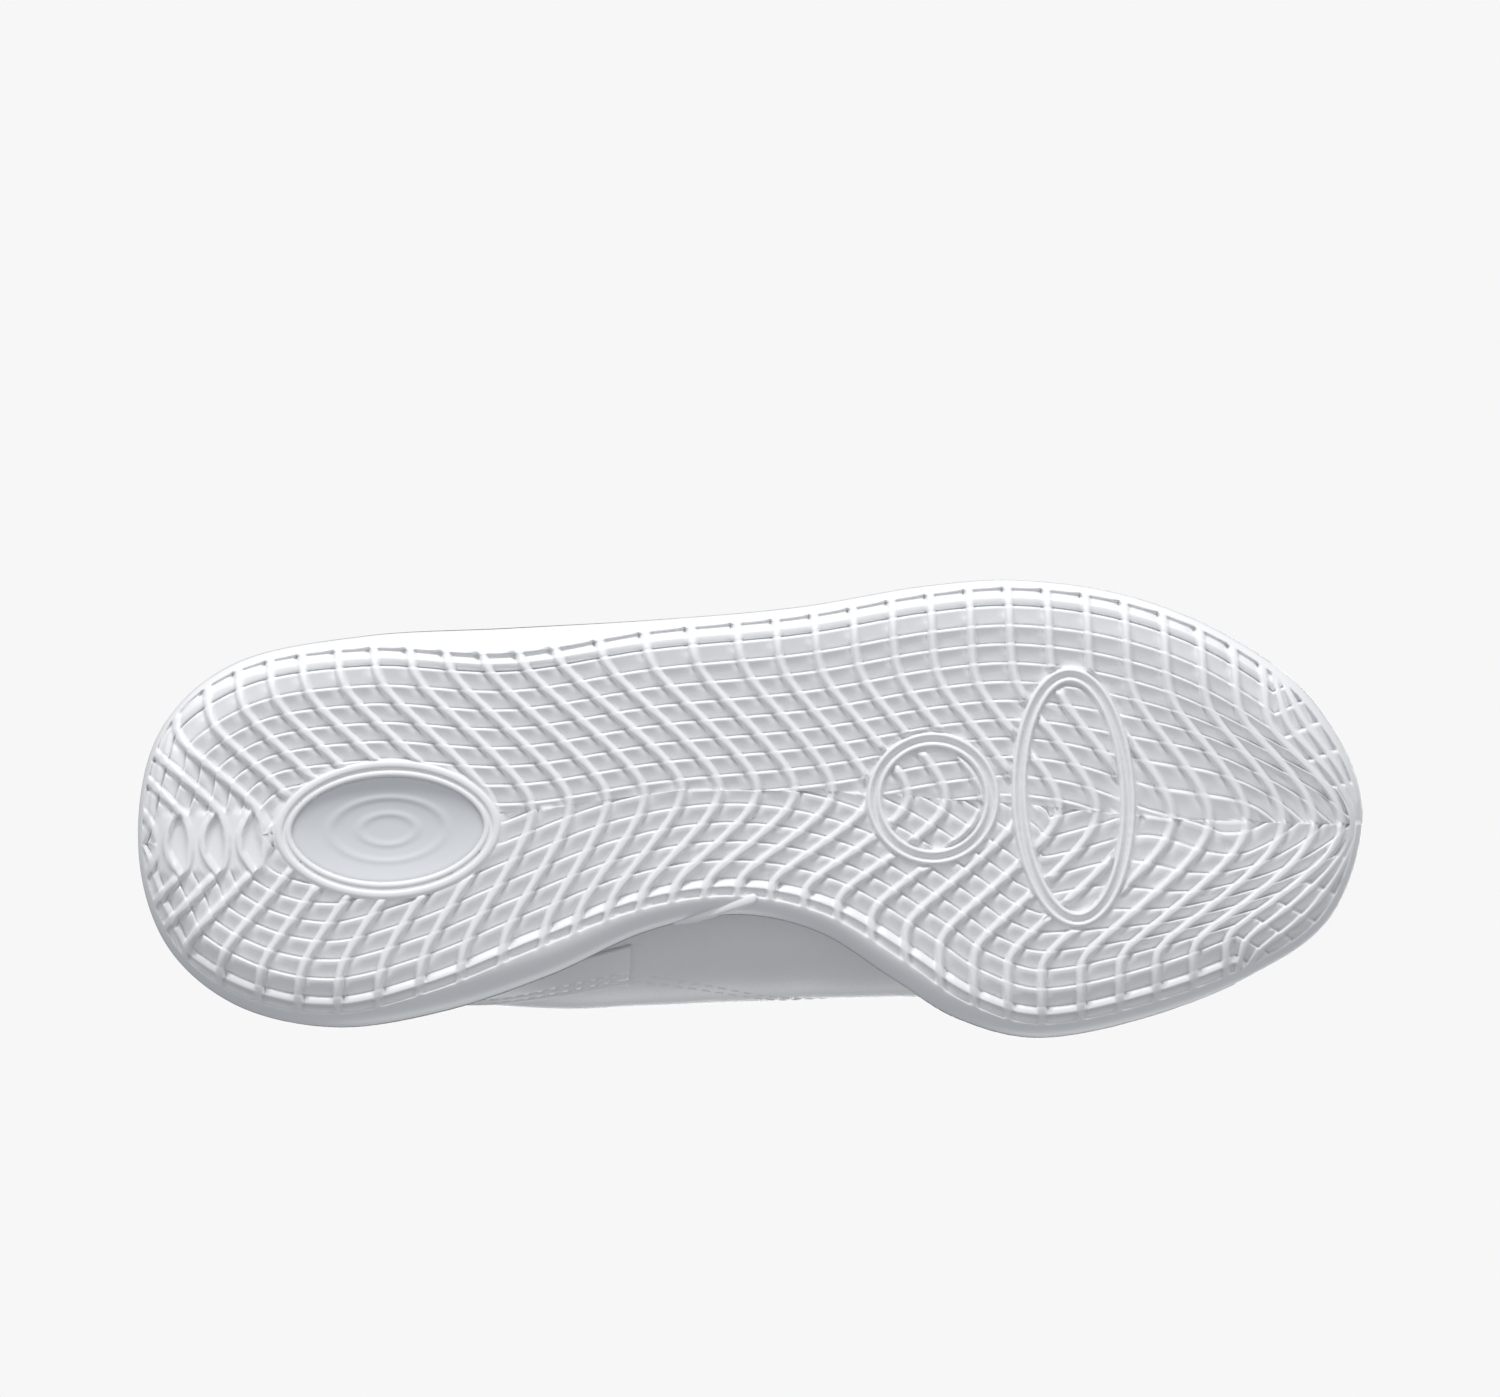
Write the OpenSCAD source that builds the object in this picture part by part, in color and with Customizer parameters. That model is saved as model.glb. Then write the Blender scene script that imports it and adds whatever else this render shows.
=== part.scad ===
// Right shoe of a pair of low, lace-up cheer shoes.
// X runs from heel to toe, +Y is the inner (arch) side, Z is up, and the shoe stands on Z = 0.
// The upper is one surface between the feather line at the sole and the edge of the opening:
// u runs once round the shoe (0 heel, 0.5 toe, outer side first) and v runs up it.
// Every panel, lining and pad of the upper is a patch of that surface, at its own depth.

/* [Sole] */
// Overall length of the sole
sole_length = 272; // [250:2:300]
// Thickness of the tread rubber under the foot
tread_thickness = 4; // [3:0.5:5]
// Thickness of the wall that wraps up round the foam
cup_wall = 2.6; // [2.2:0.2:3]
// Rise of the tip of the toe above the ground
toe_spring = 7; // [4:0.5:9]
// Thickness of the loose insole
sockliner_thickness = 4; // [3:0.5:5]

/* [Heel window] */
// Length of the oval window in the heel
window_length = 42; // [40:1:52]
// Width of the oval window in the heel
window_width = 23; // [22:1:30]

/* [Upper] */
// Thickness of each leather layer
leather = 1.2; // [1:0.1:1.4]
// Thickness of the textile lining
lining = 0.8; // [0.6:0.1:1]
// Thickness of the foam in the collar at its fullest
collar_pad = 5; // [3:0.5:6]
// Thickness of the foam in the tongue
tongue_pad = 3.6; // [2:0.2:4]

/* [Lacing] */
// Number of eyelets down each side
eyelet_count = 6; // [5:1:7]
// Width of the flat lace
lace_width = 7; // [5:0.5:8]
// Thickness of the flat lace
lace_thickness = 1.1; // [0.9:0.1:1.2]

/* [Hidden] */

gap = 0.25;                     // between pieces that lie on each other
scale_x = sole_length / 272;    // the tables below are for the standard length
hair = 0.004;                   // step for slopes measured on the surface

// ---- plan of the sole ----
// Each row is a point of the widest outline of the sole, from the heel round the outer side to the toe
// and back along the arch: [x, y, inset of the flat tread, height of the rim].
sole_table = [
    [-136, 0, 11, 27], [-130.5, -24, 12, 27], [-113, -39, 12, 26], [-84, -44, 11, 25],
    [-52, -44.5, 10, 24], [-20, -45, 10, 23], [12, -46.5, 10, 22], [40, -50, 11, 20.5],
    [62, -50.5, 12, 20], [86, -46, 13, 20], [108, -36, 14, 21.5], [126, -21, 15, 24],
    [136, 2, 15, 26], [128.5, 26, 15, 24], [110, 39, 14, 21.5], [86, 47.5, 13, 20],
    [62, 51, 12, 19.5], [44, 46, 10, 17.5], [30, 36.5, 7, 15], [14, 25.5, 6, 13.8],
    [-4, 21, 6, 13.6], [-24, 24, 7, 14.3], [-46, 33, 9, 17], [-70, 40, 11, 22],
    [-94, 42.5, 12, 25], [-116, 36.5, 12, 26], [-131, 22, 11.5, 27]];
toe_station = 12;   // row of the table at the tip of the toe
around = 64;        // facets round the sole
lean = 1.3;         // how far the rim of the cup leans in

// ---- surface of the upper ----
// Each row is a profile of the upper, in the same order round the shoe: four Bezier points from the
// feather line up to the edge of the opening.
upper_table = [
    [[-128, 0, 16.6], [-136.5, 0, 42], [-121, 0, 62], [-125, 0, 91]],
    [[-120, -24, 16.6], [-128, -28, 42], [-113, -24, 62], [-115, -17, 88]],
    [[-100, -34, 16.5], [-102, -41, 40], [-97, -34, 58], [-98, -27, 78]],
    [[-72, -36.5, 16.2], [-72, -43, 38], [-74, -38, 52], [-74, -32, 67]],
    [[-44, -36.8, 15.7], [-43, -43.5, 38], [-47, -40, 54], [-50, -31, 67]],
    [[-16, -37.4, 15], [-14, -44.5, 40], [-24, -38, 66], [-30, -23, 82]],
    [[10, -38.8, 14], [11, -45.5, 42], [-2, -34, 78], [-13, -15, 93]],
    [[34, -42.3, 12.6], [35, -48, 38], [20, -31, 70], [8, -12, 81]],
    [[56, -44, 11.8], [58, -48.5, 32], [42, -31, 60], [28, -10.5, 70]],
    [[80, -41.2, 12], [82.5, -44.7, 30], [62, -28, 53], [45, -8.5, 61]],
    [[101, -33.5, 12.8], [104.5, -37, 32], [78, -21, 51], [51, -6.5, 57.5]],
    [[120.5, -19.5, 14.4], [126, -20.5, 36], [92, -11, 50], [54, -3.3, 55.8]],
    [[130.5, 2, 15.4], [136.5, 2, 38], [98, 1, 50], [55, 0, 55.5]],
    [[123, 23.5, 14.4], [128, 25.5, 36], [92, 12, 50], [54, 3.3, 55.8]],
    [[104, 35.5, 12.8], [107.5, 39, 32], [80, 23, 51], [51, 6.5, 57.5]],
    [[82, 41.5, 12], [85, 44.5, 30], [64, 30, 54], [45, 8.5, 61]],
    [[59, 43, 11.8], [61, 48, 32], [44, 33, 61], [28, 10.5, 70]],
    [[36, 31, 12.4], [38, 55, 27], [22, 34, 71], [8, 12, 81]],
    [[13, 16.5, 14.2], [12, 61, 25], [-1, 37, 77], [-13, 15, 93]],
    [[-13, 12.5, 15.4], [-14, 60, 26], [-24, 39, 66], [-30, 23, 82]],
    [[-42, 22, 16], [-43, 52.5, 31], [-47, 40, 54], [-50, 31, 67]],
    [[-72, 31.5, 16.3], [-72, 42.5, 37], [-74, 38, 52], [-74, 32, 67]],
    [[-100, 33.5, 16.5], [-102, 40.5, 40], [-97, 34, 58], [-98, 27, 78]],
    [[-120, 24, 16.6], [-128, 27.5, 42], [-113, 24, 62], [-115, 17, 88]]];
stations = len(upper_table);

// Points along the heights of the sole: [x, height of the foam's top]
foam_top_table = [[-136, 16], [-100, 16], [-60, 15.6], [-20, 14.6], [20, 12.6], [60, 11], [100, 12], [136, 15.4]];

// ---- curves ----
function wrap(i, n) = ((i % n) + n) % n;
function spline(a, b, c, d, f) =
    0.5 * (2 * b + (c - a) * f + (2 * a - 5 * b + 4 * c - d) * f * f + (3 * b - a - 3 * c + d) * f * f * f);
function closed_curve(table, u) =
    let (n = len(table), s = u * n, i = floor(s))
    spline(table[wrap(i - 1, n)], table[wrap(i, n)], table[wrap(i + 1, n)], table[wrap(i + 2, n)], s - i);
function smooth(t) = let (c = min(1, max(0, t))) c * c * (3 - 2 * c);
function unit(v) = v / norm(v);
function mix(a, b, t) = a * (1 - t) + b * t;
function stretch(p) = len(p) == 3 ? [p.x * scale_x, p.y, p.z] : [p.x * scale_x, p.y];

// Lift of the tread above the ground, at the toe and at the back of the heel
function spring(x) =
    let (toe = max(0, x / scale_x - 62) / 74, heel = max(0, -112 - x / scale_x) / 24)
    toe_spring * toe * toe + 2.5 * heel * heel;

// ---- the sole's shape ----
// Facet j of the outline goes up the outer side and back along the inner side.
function sole_u(j) =
    let (t = toe_station / len(sole_table), half = around / 2, k = wrap(j, around))
    k <= half ? t * k / half : t + (1 - t) * (k - half) / half;
function sole_row(j) = closed_curve(sole_table, sole_u(j));
function sole_point(j) = stretch([sole_row(j).x, sole_row(j).y]);
function sole_inward(j) =
    let (d = sole_point(j + 1) - sole_point(j - 1))
    unit([d.y, -d.x]) * (d.x * d.x + d.y * d.y > 0 ? -1 : 1);
function inset_point(j, depth, z) =
    let (p = sole_point(j) + sole_inward(j) * depth)
    [p.x, p.y, z];

// Outside of the sole: from the flat tread (t = 0) round a quarter ellipse to the widest line (t = 1)
function sole_skin(j, t) =
    let (row = sole_row(j), rise = 0.45 * row[3],
         p = inset_point(j, row[2] * (1 - sin(90 * t)), rise * (1 - cos(90 * t))))
    [p.x, p.y, p.z + spring(p.x) * (1 - 0.6 * t)];
function sole_rim(j, depth, drop) = let (p = inset_point(j, depth, 0)) [p.x, p.y, sole_row(j)[3] - drop];
function foam_top(x) = lookup(x / scale_x, foam_top_table);

// A ring of points, all at one inset, at heights that follow a function of x
function ring(depth, height) =
    [for (j = [0 : around - 1]) let (p = inset_point(j, depth, 0)) [p.x, p.y, height(p.x)]];

// Closed solid from a stack of rings with as many points each. Its two ends are closed across the shoe.
module ring_stack(rings) {
    n = len(rings[0]);
    half = n / 2;
    levels = len(rings);
    top = (levels - 1) * n;
    sides = [for (k = [0 : levels - 2], j = [0 : n - 1])
        let (a = k * n + j, b = k * n + wrap(j + 1, n), c = b + n, d = a + n)
        each [[a, c, b], [a, d, c]]];
    lower = [for (j = [0 : half - 1])
        let (a = j, b = j + 1, c = wrap(n - j - 1, n), d = wrap(n - j, n))
        each [if (a != d) [a, c, d], if (b != c) [a, b, c]]];
    upper = [for (f = lower) [top + f[2], top + f[1], top + f[0]]];
    polyhedron(points = [for (r = rings) each r], faces = concat(sides, lower, upper), convexity = 6);
}

// Oval loft on the ground plane: rings of [half length, half width, height]
module oval_stack(rings, x) {
    facets = 48;
    ring_stack([for (r = rings)
        [for (j = [0 : facets - 1]) let (a = 180 + 360 * j / facets) [x + r[0] * cos(a), r[1] * sin(a), r[2]]]]);
}

// ---- sole unit ----
window_x = -80 * scale_x;   // centre of the oval window
window_y = -1;
bezel_width = 3;

module outsole() {
    steps = 6;
    outside = [for (k = [0 : steps]) [for (j = [0 : around - 1]) sole_skin(j, k / steps)]];
    rim = [[for (j = [0 : around - 1]) sole_rim(j, lean, 0)],
           [for (j = [0 : around - 1]) sole_rim(j, lean + cup_wall, 0)]];
    shelf = [for (j = [0 : around - 1]) let (p = sole_rim(j, lean + cup_wall, 0)) [p.x, p.y, foam_top(p.x)]];
    floor_ring = [for (j = [0 : around - 1])
        let (row = sole_row(j), p = inset_point(j, lean + cup_wall + 0.55 * row[2], 0))
        [p.x, p.y, tread_thickness + spring(p.x)]];
    color("white")
        difference() {
            ring_stack(concat(outside, rim, [shelf, floor_ring]));
            translate([window_x, window_y, -1])
                linear_extrude(tread_thickness + 3)
                    polygon([for (a = [0 : 7.5 : 359])
                        [(window_length / 2 + bezel_width) * cos(a), (window_width / 2 + bezel_width) * sin(a)]]);
        }
}

// Foam that fills the cup; its top carries the strobel board
module midsole() {
    color("whitesmoke")
        difference() {
            ring_stack([
                [for (j = [0 : around - 1])
                    let (row = sole_row(j), p = inset_point(j, lean + cup_wall + 0.4 + 0.55 * row[2], 0))
                    [p.x, p.y, tread_thickness + gap + spring(p.x)]],
                [for (j = [0 : around - 1])
                    let (p = sole_rim(j, lean + cup_wall + 0.4, 0)) [p.x, p.y, foam_top(p.x) - 0.1]]]);
            translate([window_x, window_y, 0])
                linear_extrude(tread_thickness + 3)
                    polygon([for (a = [0 : 7.5 : 359])
                        [(window_length / 2 + bezel_width) * cos(a), (window_width / 2 + bezel_width) * sin(a)]]);
        }
}

// Raised oval frame of the window
module heel_window_bezel() {
    a = window_length / 2;
    b = window_width / 2;
    w = bezel_width - gap;
    color("white")
        translate([0, window_y, 0])
            difference() {
                oval_stack([[a + w - 1, b + w - 1, 0], [a + w, b + w, 1], [a + w, b + w, tread_thickness + 1.8]],
                           window_x);
                translate([window_x, 0, -1])
                    linear_extrude(tread_thickness + 6)
                        polygon([for (t = [0 : 7.5 : 359]) [a * cos(t), b * sin(t)]]);
            }
}

// Dished clear lens inside the frame
module heel_window_lens() {
    a = window_length / 2 - gap;
    b = window_width / 2 - gap;
    dish = [for (k = [5 : -1 : 0]) let (r = 1 - k / 5.5) [a * r, b * r, 1.2 + 2.2 * (1 - r * r)]];
    color("lightgray")
        translate([0, window_y, 0])
            ring_stack([for (r = concat(dish, [[a, b, tread_thickness + 1.7]]))
                [for (j = [0 : 47]) let (t = 180 + 360 * j / 48) [window_x + r[0] * cos(t), r[1] * sin(t), r[2]]]]);
}

// ---- surface of the upper ----
function bezier(p, v) =
    let (w = 1 - v) p[0] * w * w * w + p[1] * 3 * v * w * w + p[2] * 3 * v * v * w + p[3] * v * v * v;
function upper_at(u, v) = stretch(bezier(closed_curve(upper_table, u), v));
function along(u, v) = unit(upper_at(u + hair, v) - upper_at(u - hair, v));
function upward(u, v) = unit(upper_at(u, v + hair) - upper_at(u, v - hair));
function outward(u, v) = unit(cross(along(u, v), upward(u, v)));
function at_depth(u, v, d) = upper_at(u, v) - outward(u, v) * d;
function station(i) = i / stations;

// Closed shell over part of the surface. place(s, t) gives [u, v] over the unit square; outer and
// inner give the depths of its two faces.
module patch(nu, nv, place, outer, inner) {
    row = nv + 1;
    count = (nu + 1) * row;
    function point(i, j, f) = let (q = place(i / nu, j / nv)) at_depth(q[0], q[1], f(q[0], q[1]));
    pts = [for (f = [outer, inner], i = [0 : nu], j = [0 : nv]) point(i, j, f)];
    faces = [
        for (i = [0 : nu - 1], j = [0 : nv - 1]) let (a = i * row + j, b = a + row)
            each [[a, a + 1, b + 1], [a, b + 1, b], [count + a, count + b + 1, count + a + 1],
                  [count + a, count + b, count + b + 1]],
        for (i = [0 : nu - 1]) let (a = i * row, b = a + row, c = a + nv, d = b + nv)
            each [[a, b, count + b], [a, count + b, count + a], [c, count + d, d], [c, count + c, count + d]],
        for (j = [0 : nv - 1]) let (a = j, c = nu * row + j)
            each [[a, count + a + 1, a + 1], [a, count + a, count + a + 1],
                  [c, c + 1, count + c + 1], [c, count + c + 1, count + c]]];
    polyhedron(points = pts, faces = faces, convexity = 8);
}

// Closed bar swept through a list of sections with as many points each
module sweep(sections) {
    n = len(sections[0]);
    levels = len(sections);
    last = (levels - 1) * n;
    faces = [
        for (k = [0 : levels - 2], j = [0 : n - 1]) let (a = k * n + j, b = k * n + wrap(j + 1, n))
            each [[a, b, b + n], [a, b + n, a + n]],
        for (j = [1 : n - 2]) each [[0, j + 1, j], [last, last + j, last + j + 1]]];
    polyhedron(points = [for (s = sections) each s], faces = faces, convexity = 8);
}

// Plate lying on the foam inside the feather line, as [v, inset, height above the foam] per level
module inner_plate(levels) {
    n = 48;
    function edge(k, v, inset) =
        let (p = upper_at(k / n, v), d = upper_at(k / n + hair, v) - upper_at(k / n - hair, v),
             m = unit([-d.y, d.x]))
        [p.x + m.x * inset, p.y + m.y * inset];
    ring_stack([for (l = levels)
        [for (k = [0 : n - 1]) let (p = edge(k, l[0], l[1])) [p.x, p.y, foam_top(p.x) + l[2]]]]);
}

// ---- layers of the upper, as depths below its outer face ----
under_leather = leather + gap;
stiffener = 1;
lining_top = under_leather + stiffener + gap;
lining_back = lining_top + lining;

seam_low = 7.6;     // station of the seam between quarter and vamp, at the sole
seam_high = 9.8;    // and at the throat
throat_top = 5.75;  // station of the top corner of the throat
function seam(t) = seam_low + (seam_high - seam_low) * t;

// ---- inside ----
module strobel_board() {
    color("tan") inner_plate([[0, 4.4, 0.1], [0, 4.4, 1.3]]);
}
module sockliner() {
    color("gainsboro") inner_plate([[0.02, 6, 1.5], [0.06, 6, 1.5 + sockliner_thickness]]);
}

// Columns of a patch are kept on shared stations, so that layers on each other have matching facets.
// aligned() spreads s over [from, to] with n_low columns up to a, whole steps to b and n_high beyond.
function aligned(s, from, a, b, to, n_low, n_mid, n_high) =
    let (k = s * (n_low + n_mid + n_high))
    k <= n_low ? from + (a - from) * k / max(n_low, 1)
    : k <= n_low + n_mid ? a + (b - a) * (k - n_low) / n_mid
    : b + (to - b) * (k - n_low - n_mid) / max(n_high, 1);

// ---- vamp ----
module vamp() {
    color("white")
        patch(26, 10, function(s, t)
                  [station(aligned(s, seam(t) + 0.01, 10, 14, stations - seam(t) - 0.01, 5, 16, 5)), t],
              function(u, v) 0, function(u, v) leather);
}

module vamp_lining() {
    color("gainsboro")
        patch(26, 8, function(s, t)
                  [station(aligned(s, seam(t) + 0.1, 10, 14, stations - seam(t) - 0.1, 5, 16, 5)), 0.01 + 0.94 * t],
              function(u, v) lining_top, function(u, v) lining_back);
}

// Overlay round the tip, with a top edge that dips at the sides
function cap_edge(u) = let (k = (u * stations - 12) / 2.9) 0.50 - 0.27 * k * k;
module toe_cap() {
    color("white")
        patch(22, 5, function(s, t) let (u = station(aligned(s, 9.25, 10, 14, 14.75, 3, 16, 3)))
                  [u, 0.17 + (cap_edge(u) - 0.17) * t],
              function(u, v) -gap - leather, function(u, v) -gap);
}

module toe_puff() {
    color("lightgray")
        patch(16, 5, function(s, t) let (u = station(mix(10, 14, s))) [u, 0.03 + (0.85 * cap_edge(u) - 0.03) * t],
              function(u, v) under_leather, function(u, v) under_leather + stiffener - 0.1);
}

// ---- eyelets ----
// Places are [u, v]; side is -1 for the outer side and 1 for the arch side. Number 0 is the lowest.
eyelet_top = 6.2;
eyelet_bottom = 9.0;
function eyelet_station(k) = mix(eyelet_bottom, eyelet_top, pow(k / (eyelet_count - 1), 0.84));
function side_u(side, i) = side < 0 ? station(i) : station(stations - i);
function eyelet_v(side, k) =
    let (u = side_u(side, eyelet_station(k)), e = norm(upper_at(u, 1) - upper_at(u, 0.9)))
    1 - 0.1 * 7.5 / e;
function eyelet_at(side, k, d) = at_depth(side_u(side, eyelet_station(k)), eyelet_v(side, k), d);
module at_eyelet(side, k) {
    u = side_u(side, eyelet_station(k));
    v = eyelet_v(side, k);
    z = outward(u, v);
    x = along(u, v);
    y = cross(z, x);
    p = upper_at(u, v);
    multmatrix([[x.x, y.x, z.x, p.x], [x.y, y.y, z.y, p.y], [x.z, y.z, z.z, p.z], [0, 0, 0, 1]]) children();
}
module eyelet_holes(side) {
    for (k = [0 : eyelet_count - 1]) at_eyelet(side, k) cylinder(r = 3.2, h = 12, center = true, $fn = 16);
}
module eyelet_row(side) {
    top = gap + leather + 0.35;
    color("silver")
        for (k = [0 : eyelet_count - 1]) at_eyelet(side, k)
            rotate_extrude($fn = 32)
                polygon([[2.5, -leather - 0.9], [3, -leather - 0.9],
                         [3, top], [4.6, top], [4.4, top + 0.5], [3.6, top + 0.8], [2.5, top + 0.4]]);
}
module eyelets_lateral() { eyelet_row(-1); }
module eyelets_medial() { eyelet_row(1); }

// ---- quarters ----
module quarter(side) {
    color("white")
        difference() {
            patch(19, 12, function(s, t)
                      [side_u(side, aligned(side < 0 ? s : 1 - s, 0.01, 0.5, 7, seam(t) - 0.01, 1, 13, 5)), t],
                  function(u, v) 0, function(u, v) leather);
            eyelet_holes(side);
        }
}
module quarter_lateral() { quarter(-1); }
module quarter_medial() { quarter(1); }

function lining_edge(i) = 0.60 + 0.22 * smooth((abs(i) - 5) / 1.4);
// Textile lining of both quarters, in one piece round the heel
module quarter_lining() {
    color("gainsboro")
        patch(38, 8,
              function(s, t)
                  let (i = aligned(s, 0.1 - seam(0.9 * t), -7, 7, seam(0.9 * t) - 0.1, 5, 28, 5))
                  [station(i), 0.01 + (lining_edge(i) - 0.01) * t],
              function(u, v) lining_top, function(u, v) lining_back);
}

// Overlay beside the throat that carries the eyelets
module eyestay(side) {
    function low(i) = 1 - 0.1 * 16 / norm(upper_at(side_u(side, i), 1) - upper_at(side_u(side, i), 0.9));
    color("white")
        difference() {
            patch(16, 4, function(s, t)
                      let (i = side < 0 ? mix(5.95, 10.6, s) : mix(10.6, 5.95, s), a = low(i))
                      [side_u(side, i), a + (0.995 - a) * t],
                  function(u, v) -gap - leather, function(u, v) -gap);
            eyelet_holes(side);
        }
}
module eyestay_lateral() { eyestay(-1); }
module eyestay_medial() { eyestay(1); }

// ---- heel ----
function counter_edge(i) = 0.56 - 0.34 * smooth((abs(i) - 1.2) / 3.3);
module heel_counter() {
    color("white")
        patch(18, 5, function(s, t) let (i = mix(-4.5, 4.5, s)) [station(i), 0.155 + (counter_edge(i) - 0.155) * t],
              function(u, v) -gap - leather, function(u, v) -gap);
}
module heel_stiffener() {
    color("lightgray")
        patch(16, 6, function(s, t)
                  let (i = mix(-4, 4, s)) [station(i), 0.03 + (0.92 * counter_edge(i) - 0.03) * t],
              function(u, v) under_leather, function(u, v) under_leather + stiffener - 0.1);
}
function step_out(v) = gap + (leather + gap) * (1 - smooth((v - 0.565) / 0.05));
module heel_strip() {
    color("white")
        patch(4, 14, function(s, t) [station(mix(-0.3, 0.3, s)), mix(0.2, 0.785, t)],
              function(u, v) -step_out(v) - leather, function(u, v) -step_out(v));
}
module heel_tab() {
    color("white")
        patch(4, 5, function(s, t) let (i = mix(-1, 1, s))
                  [station(i), mix(0.8 + 0.06 * i * i, 0.985, t)],
              function(u, v) -gap - leather, function(u, v) -gap);
}

// ---- collar ----
collar_low = 0.62;
function collar_depth(u, v) =
    let (i = abs(wrap(u * stations + 12, stations) - 12), t = (v - collar_low) / (1 - collar_low),
         ends = smooth((throat_top - i) / 1.2))
    under_leather + 0.6 + (collar_pad - 0.6) * ends * pow(max(0, sin(180 * min(1, 0.05 + 0.87 * t))), 0.7);
module collar_foam() {
    color("khaki")
        patch(24, 7, function(s, t) let (i = aligned(s, 0.05 - throat_top, -5.5, 5.5, throat_top - 0.05, 1, 22, 1))
                  [station(i), mix(lining_edge(i) + 0.04, 0.985, t)],
              function(u, v) under_leather, function(u, v) collar_depth(u, v));
}
module collar_lining() {
    color("gainsboro")
        patch(24, 8, function(s, t) let (i = aligned(s, 0.02 - throat_top, -5.5, 5.5, throat_top - 0.02, 1, 22, 1))
                  [station(i), mix(lining_edge(i) + 0.03, 0.985, t)],
              function(u, v) collar_depth(u, v) + gap, function(u, v) collar_depth(u, v) + gap + lining);
}
// Rolled binding along the edge of the opening, from one top corner of the throat to the other
module collar_binding() {
    function shape(u) =
        let (w = collar_depth(u, 0.99) + lining + 0.5)
        [[-0.5, 0.35], [-0.6, 1.1], [0.2, 2], [w * 0.5, 2.4], [w - 0.7, 2], [w + 0.1, 1.1], [w, 0.35]];
    color("white")
        sweep([for (k = [0 : 24])
            let (u = station(aligned(k / 24, -throat_top - 0.1, -5.5, 5.5, throat_top + 0.1, 1, 22, 1)), p = upper_at(u, 1),
                 h = upward(u, 0.99), m = outward(u, 0.99))
            [for (c = shape(u)) p + h * c[1] - m * c[0]]]);
}

// ---- tongue ----
// q runs up the tongue, y across it and c away from the foot. The tongue hinges about its lower end.
tongue_foot = [53 * scale_x, 0, 51];
tongue_dir = unit([-90 * scale_x, 0, 58]);
tongue_out = [tongue_dir.z, 0, -tongue_dir.x];
tongue_length = 107;
function tongue_crown(q) = lookup(q, [[-6, 0.3], [12, 0.3], [31, -0.3], [54, -1.5], [77, -1.9], [92, -0.8], [107, 1.4]]);
function tongue_half(q) = lookup(q, [[-6, 11], [0, 13], [12, 17.5], [25, 20.5], [45, 20.5], [62, 17.2], [75, 13.8],
                                      [84, 13.6], [94, 17.5], [101, 17.8], [105, 15.5], [107, 12]]);
function tongue_steep(q) = lookup(q, [[-6, 6], [54, 7.2], [77, 9.5], [92, 8], [107, 6.5]]);
function tongue_point(q, y, c) =
    let (a = tongue_steep(q), r = sqrt(1 + y * y / 81), slope = a * y / (81 * r), n = sqrt(1 + slope * slope))
    tongue_foot + tongue_dir * q + [0, 1, 0] * (y + c * slope / n) + tongue_out * (tongue_crown(q) - a * (r - 1) + c / n);
module tongue_layer(nq, ny, trim, top, bottom) {
    row = ny + 1;
    count = (nq + 1) * row;
    function q_of(i) = let (t = i / nq, a = -6 + trim, b = tongue_length - trim) a + (b - a) * t;
    function point(i, j, f) =
        let (q = q_of(i), s = 2 * j / ny - 1, y = s * (tongue_half(q) - trim)) tongue_point(q, y, f(q, s));
    pts = [for (f = [top, bottom], i = [0 : nq], j = [0 : ny]) point(i, j, f)];
    faces = [
        for (i = [0 : nq - 1], j = [0 : ny - 1]) let (a = i * row + j, b = a + row)
            each [[a, b, b + 1], [a, b + 1, a + 1], [count + a, count + b + 1, count + b],
                  [count + a, count + a + 1, count + b + 1]],
        for (i = [0 : nq - 1]) let (a = i * row, b = a + row, c = a + ny, d = b + ny)
            each [[a, count + b, b], [a, count + a, count + b], [c, d, count + d], [c, count + d, count + c]],
        for (j = [0 : ny - 1]) let (a = j, c = nq * row + j)
            each [[a, a + 1, count + a + 1], [a, count + a + 1, count + a],
                  [c, count + c + 1, c + 1], [c, count + c, count + c + 1]]];
    polyhedron(points = pts, faces = faces, convexity = 8);
}
function pad_depth(q, s) =
    1.3 + 0.6 + (tongue_pad - 0.6) * pow(max(0, 1 - s * s), 0.5) * smooth((q + 8) / 26) * smooth((tongue_length + 1 - q) / 12);
module tongue_shell() {
    color("white") tongue_layer(28, 10, 0.9, function(q, s) 0, function(q, s) -1.2);
}
module tongue_foam() {
    color("khaki") tongue_layer(28, 10, 1.2, function(q, s) -1.4, function(q, s) -pad_depth(q, s));
}
module tongue_lining() {
    color("gainsboro")
        tongue_layer(28, 10, 0.9, function(q, s) -pad_depth(q, s) - 0.2, function(q, s) -pad_depth(q, s) - 0.9);
}
// Binding round the two sides and the top edge
module tongue_binding() {
    samples = concat([for (k = [0 : 19]) [mix(6, 104.5, k / 19), -1]], [for (k = [-5 : 5]) [tongue_length, k / 6]],
                     [for (k = [0 : 19]) [mix(104.5, 6, k / 19), 1]]);
    color("white")
        sweep([for (e = samples)
            let (q = e[0], top = q >= tongue_length,
                 y = top ? e[1] * tongue_half(q) : e[1] * (tongue_half(q) - 0.5),
                 corner = top ? smooth(abs(e[1]) * 6 - 4) : smooth((q - 98) / 7),
                 a = top ? 1 - 0.5 * corner : 0.5 * corner, b = sign(e[1]) * (top ? 0.5 * corner : 1 - 0.5 * corner),
                 reach = unit([a, b]))
            [for (c = [[0, -3.2], [0, 0.3], [0.9, 0.5], [1.7, -0.2], [1.9, -1.4], [1.6, -2.6], [0.9, -3.2]])
                tongue_point(q + reach[0] * c[0], y + reach[1] * c[0], c[1])]]);
}
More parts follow.
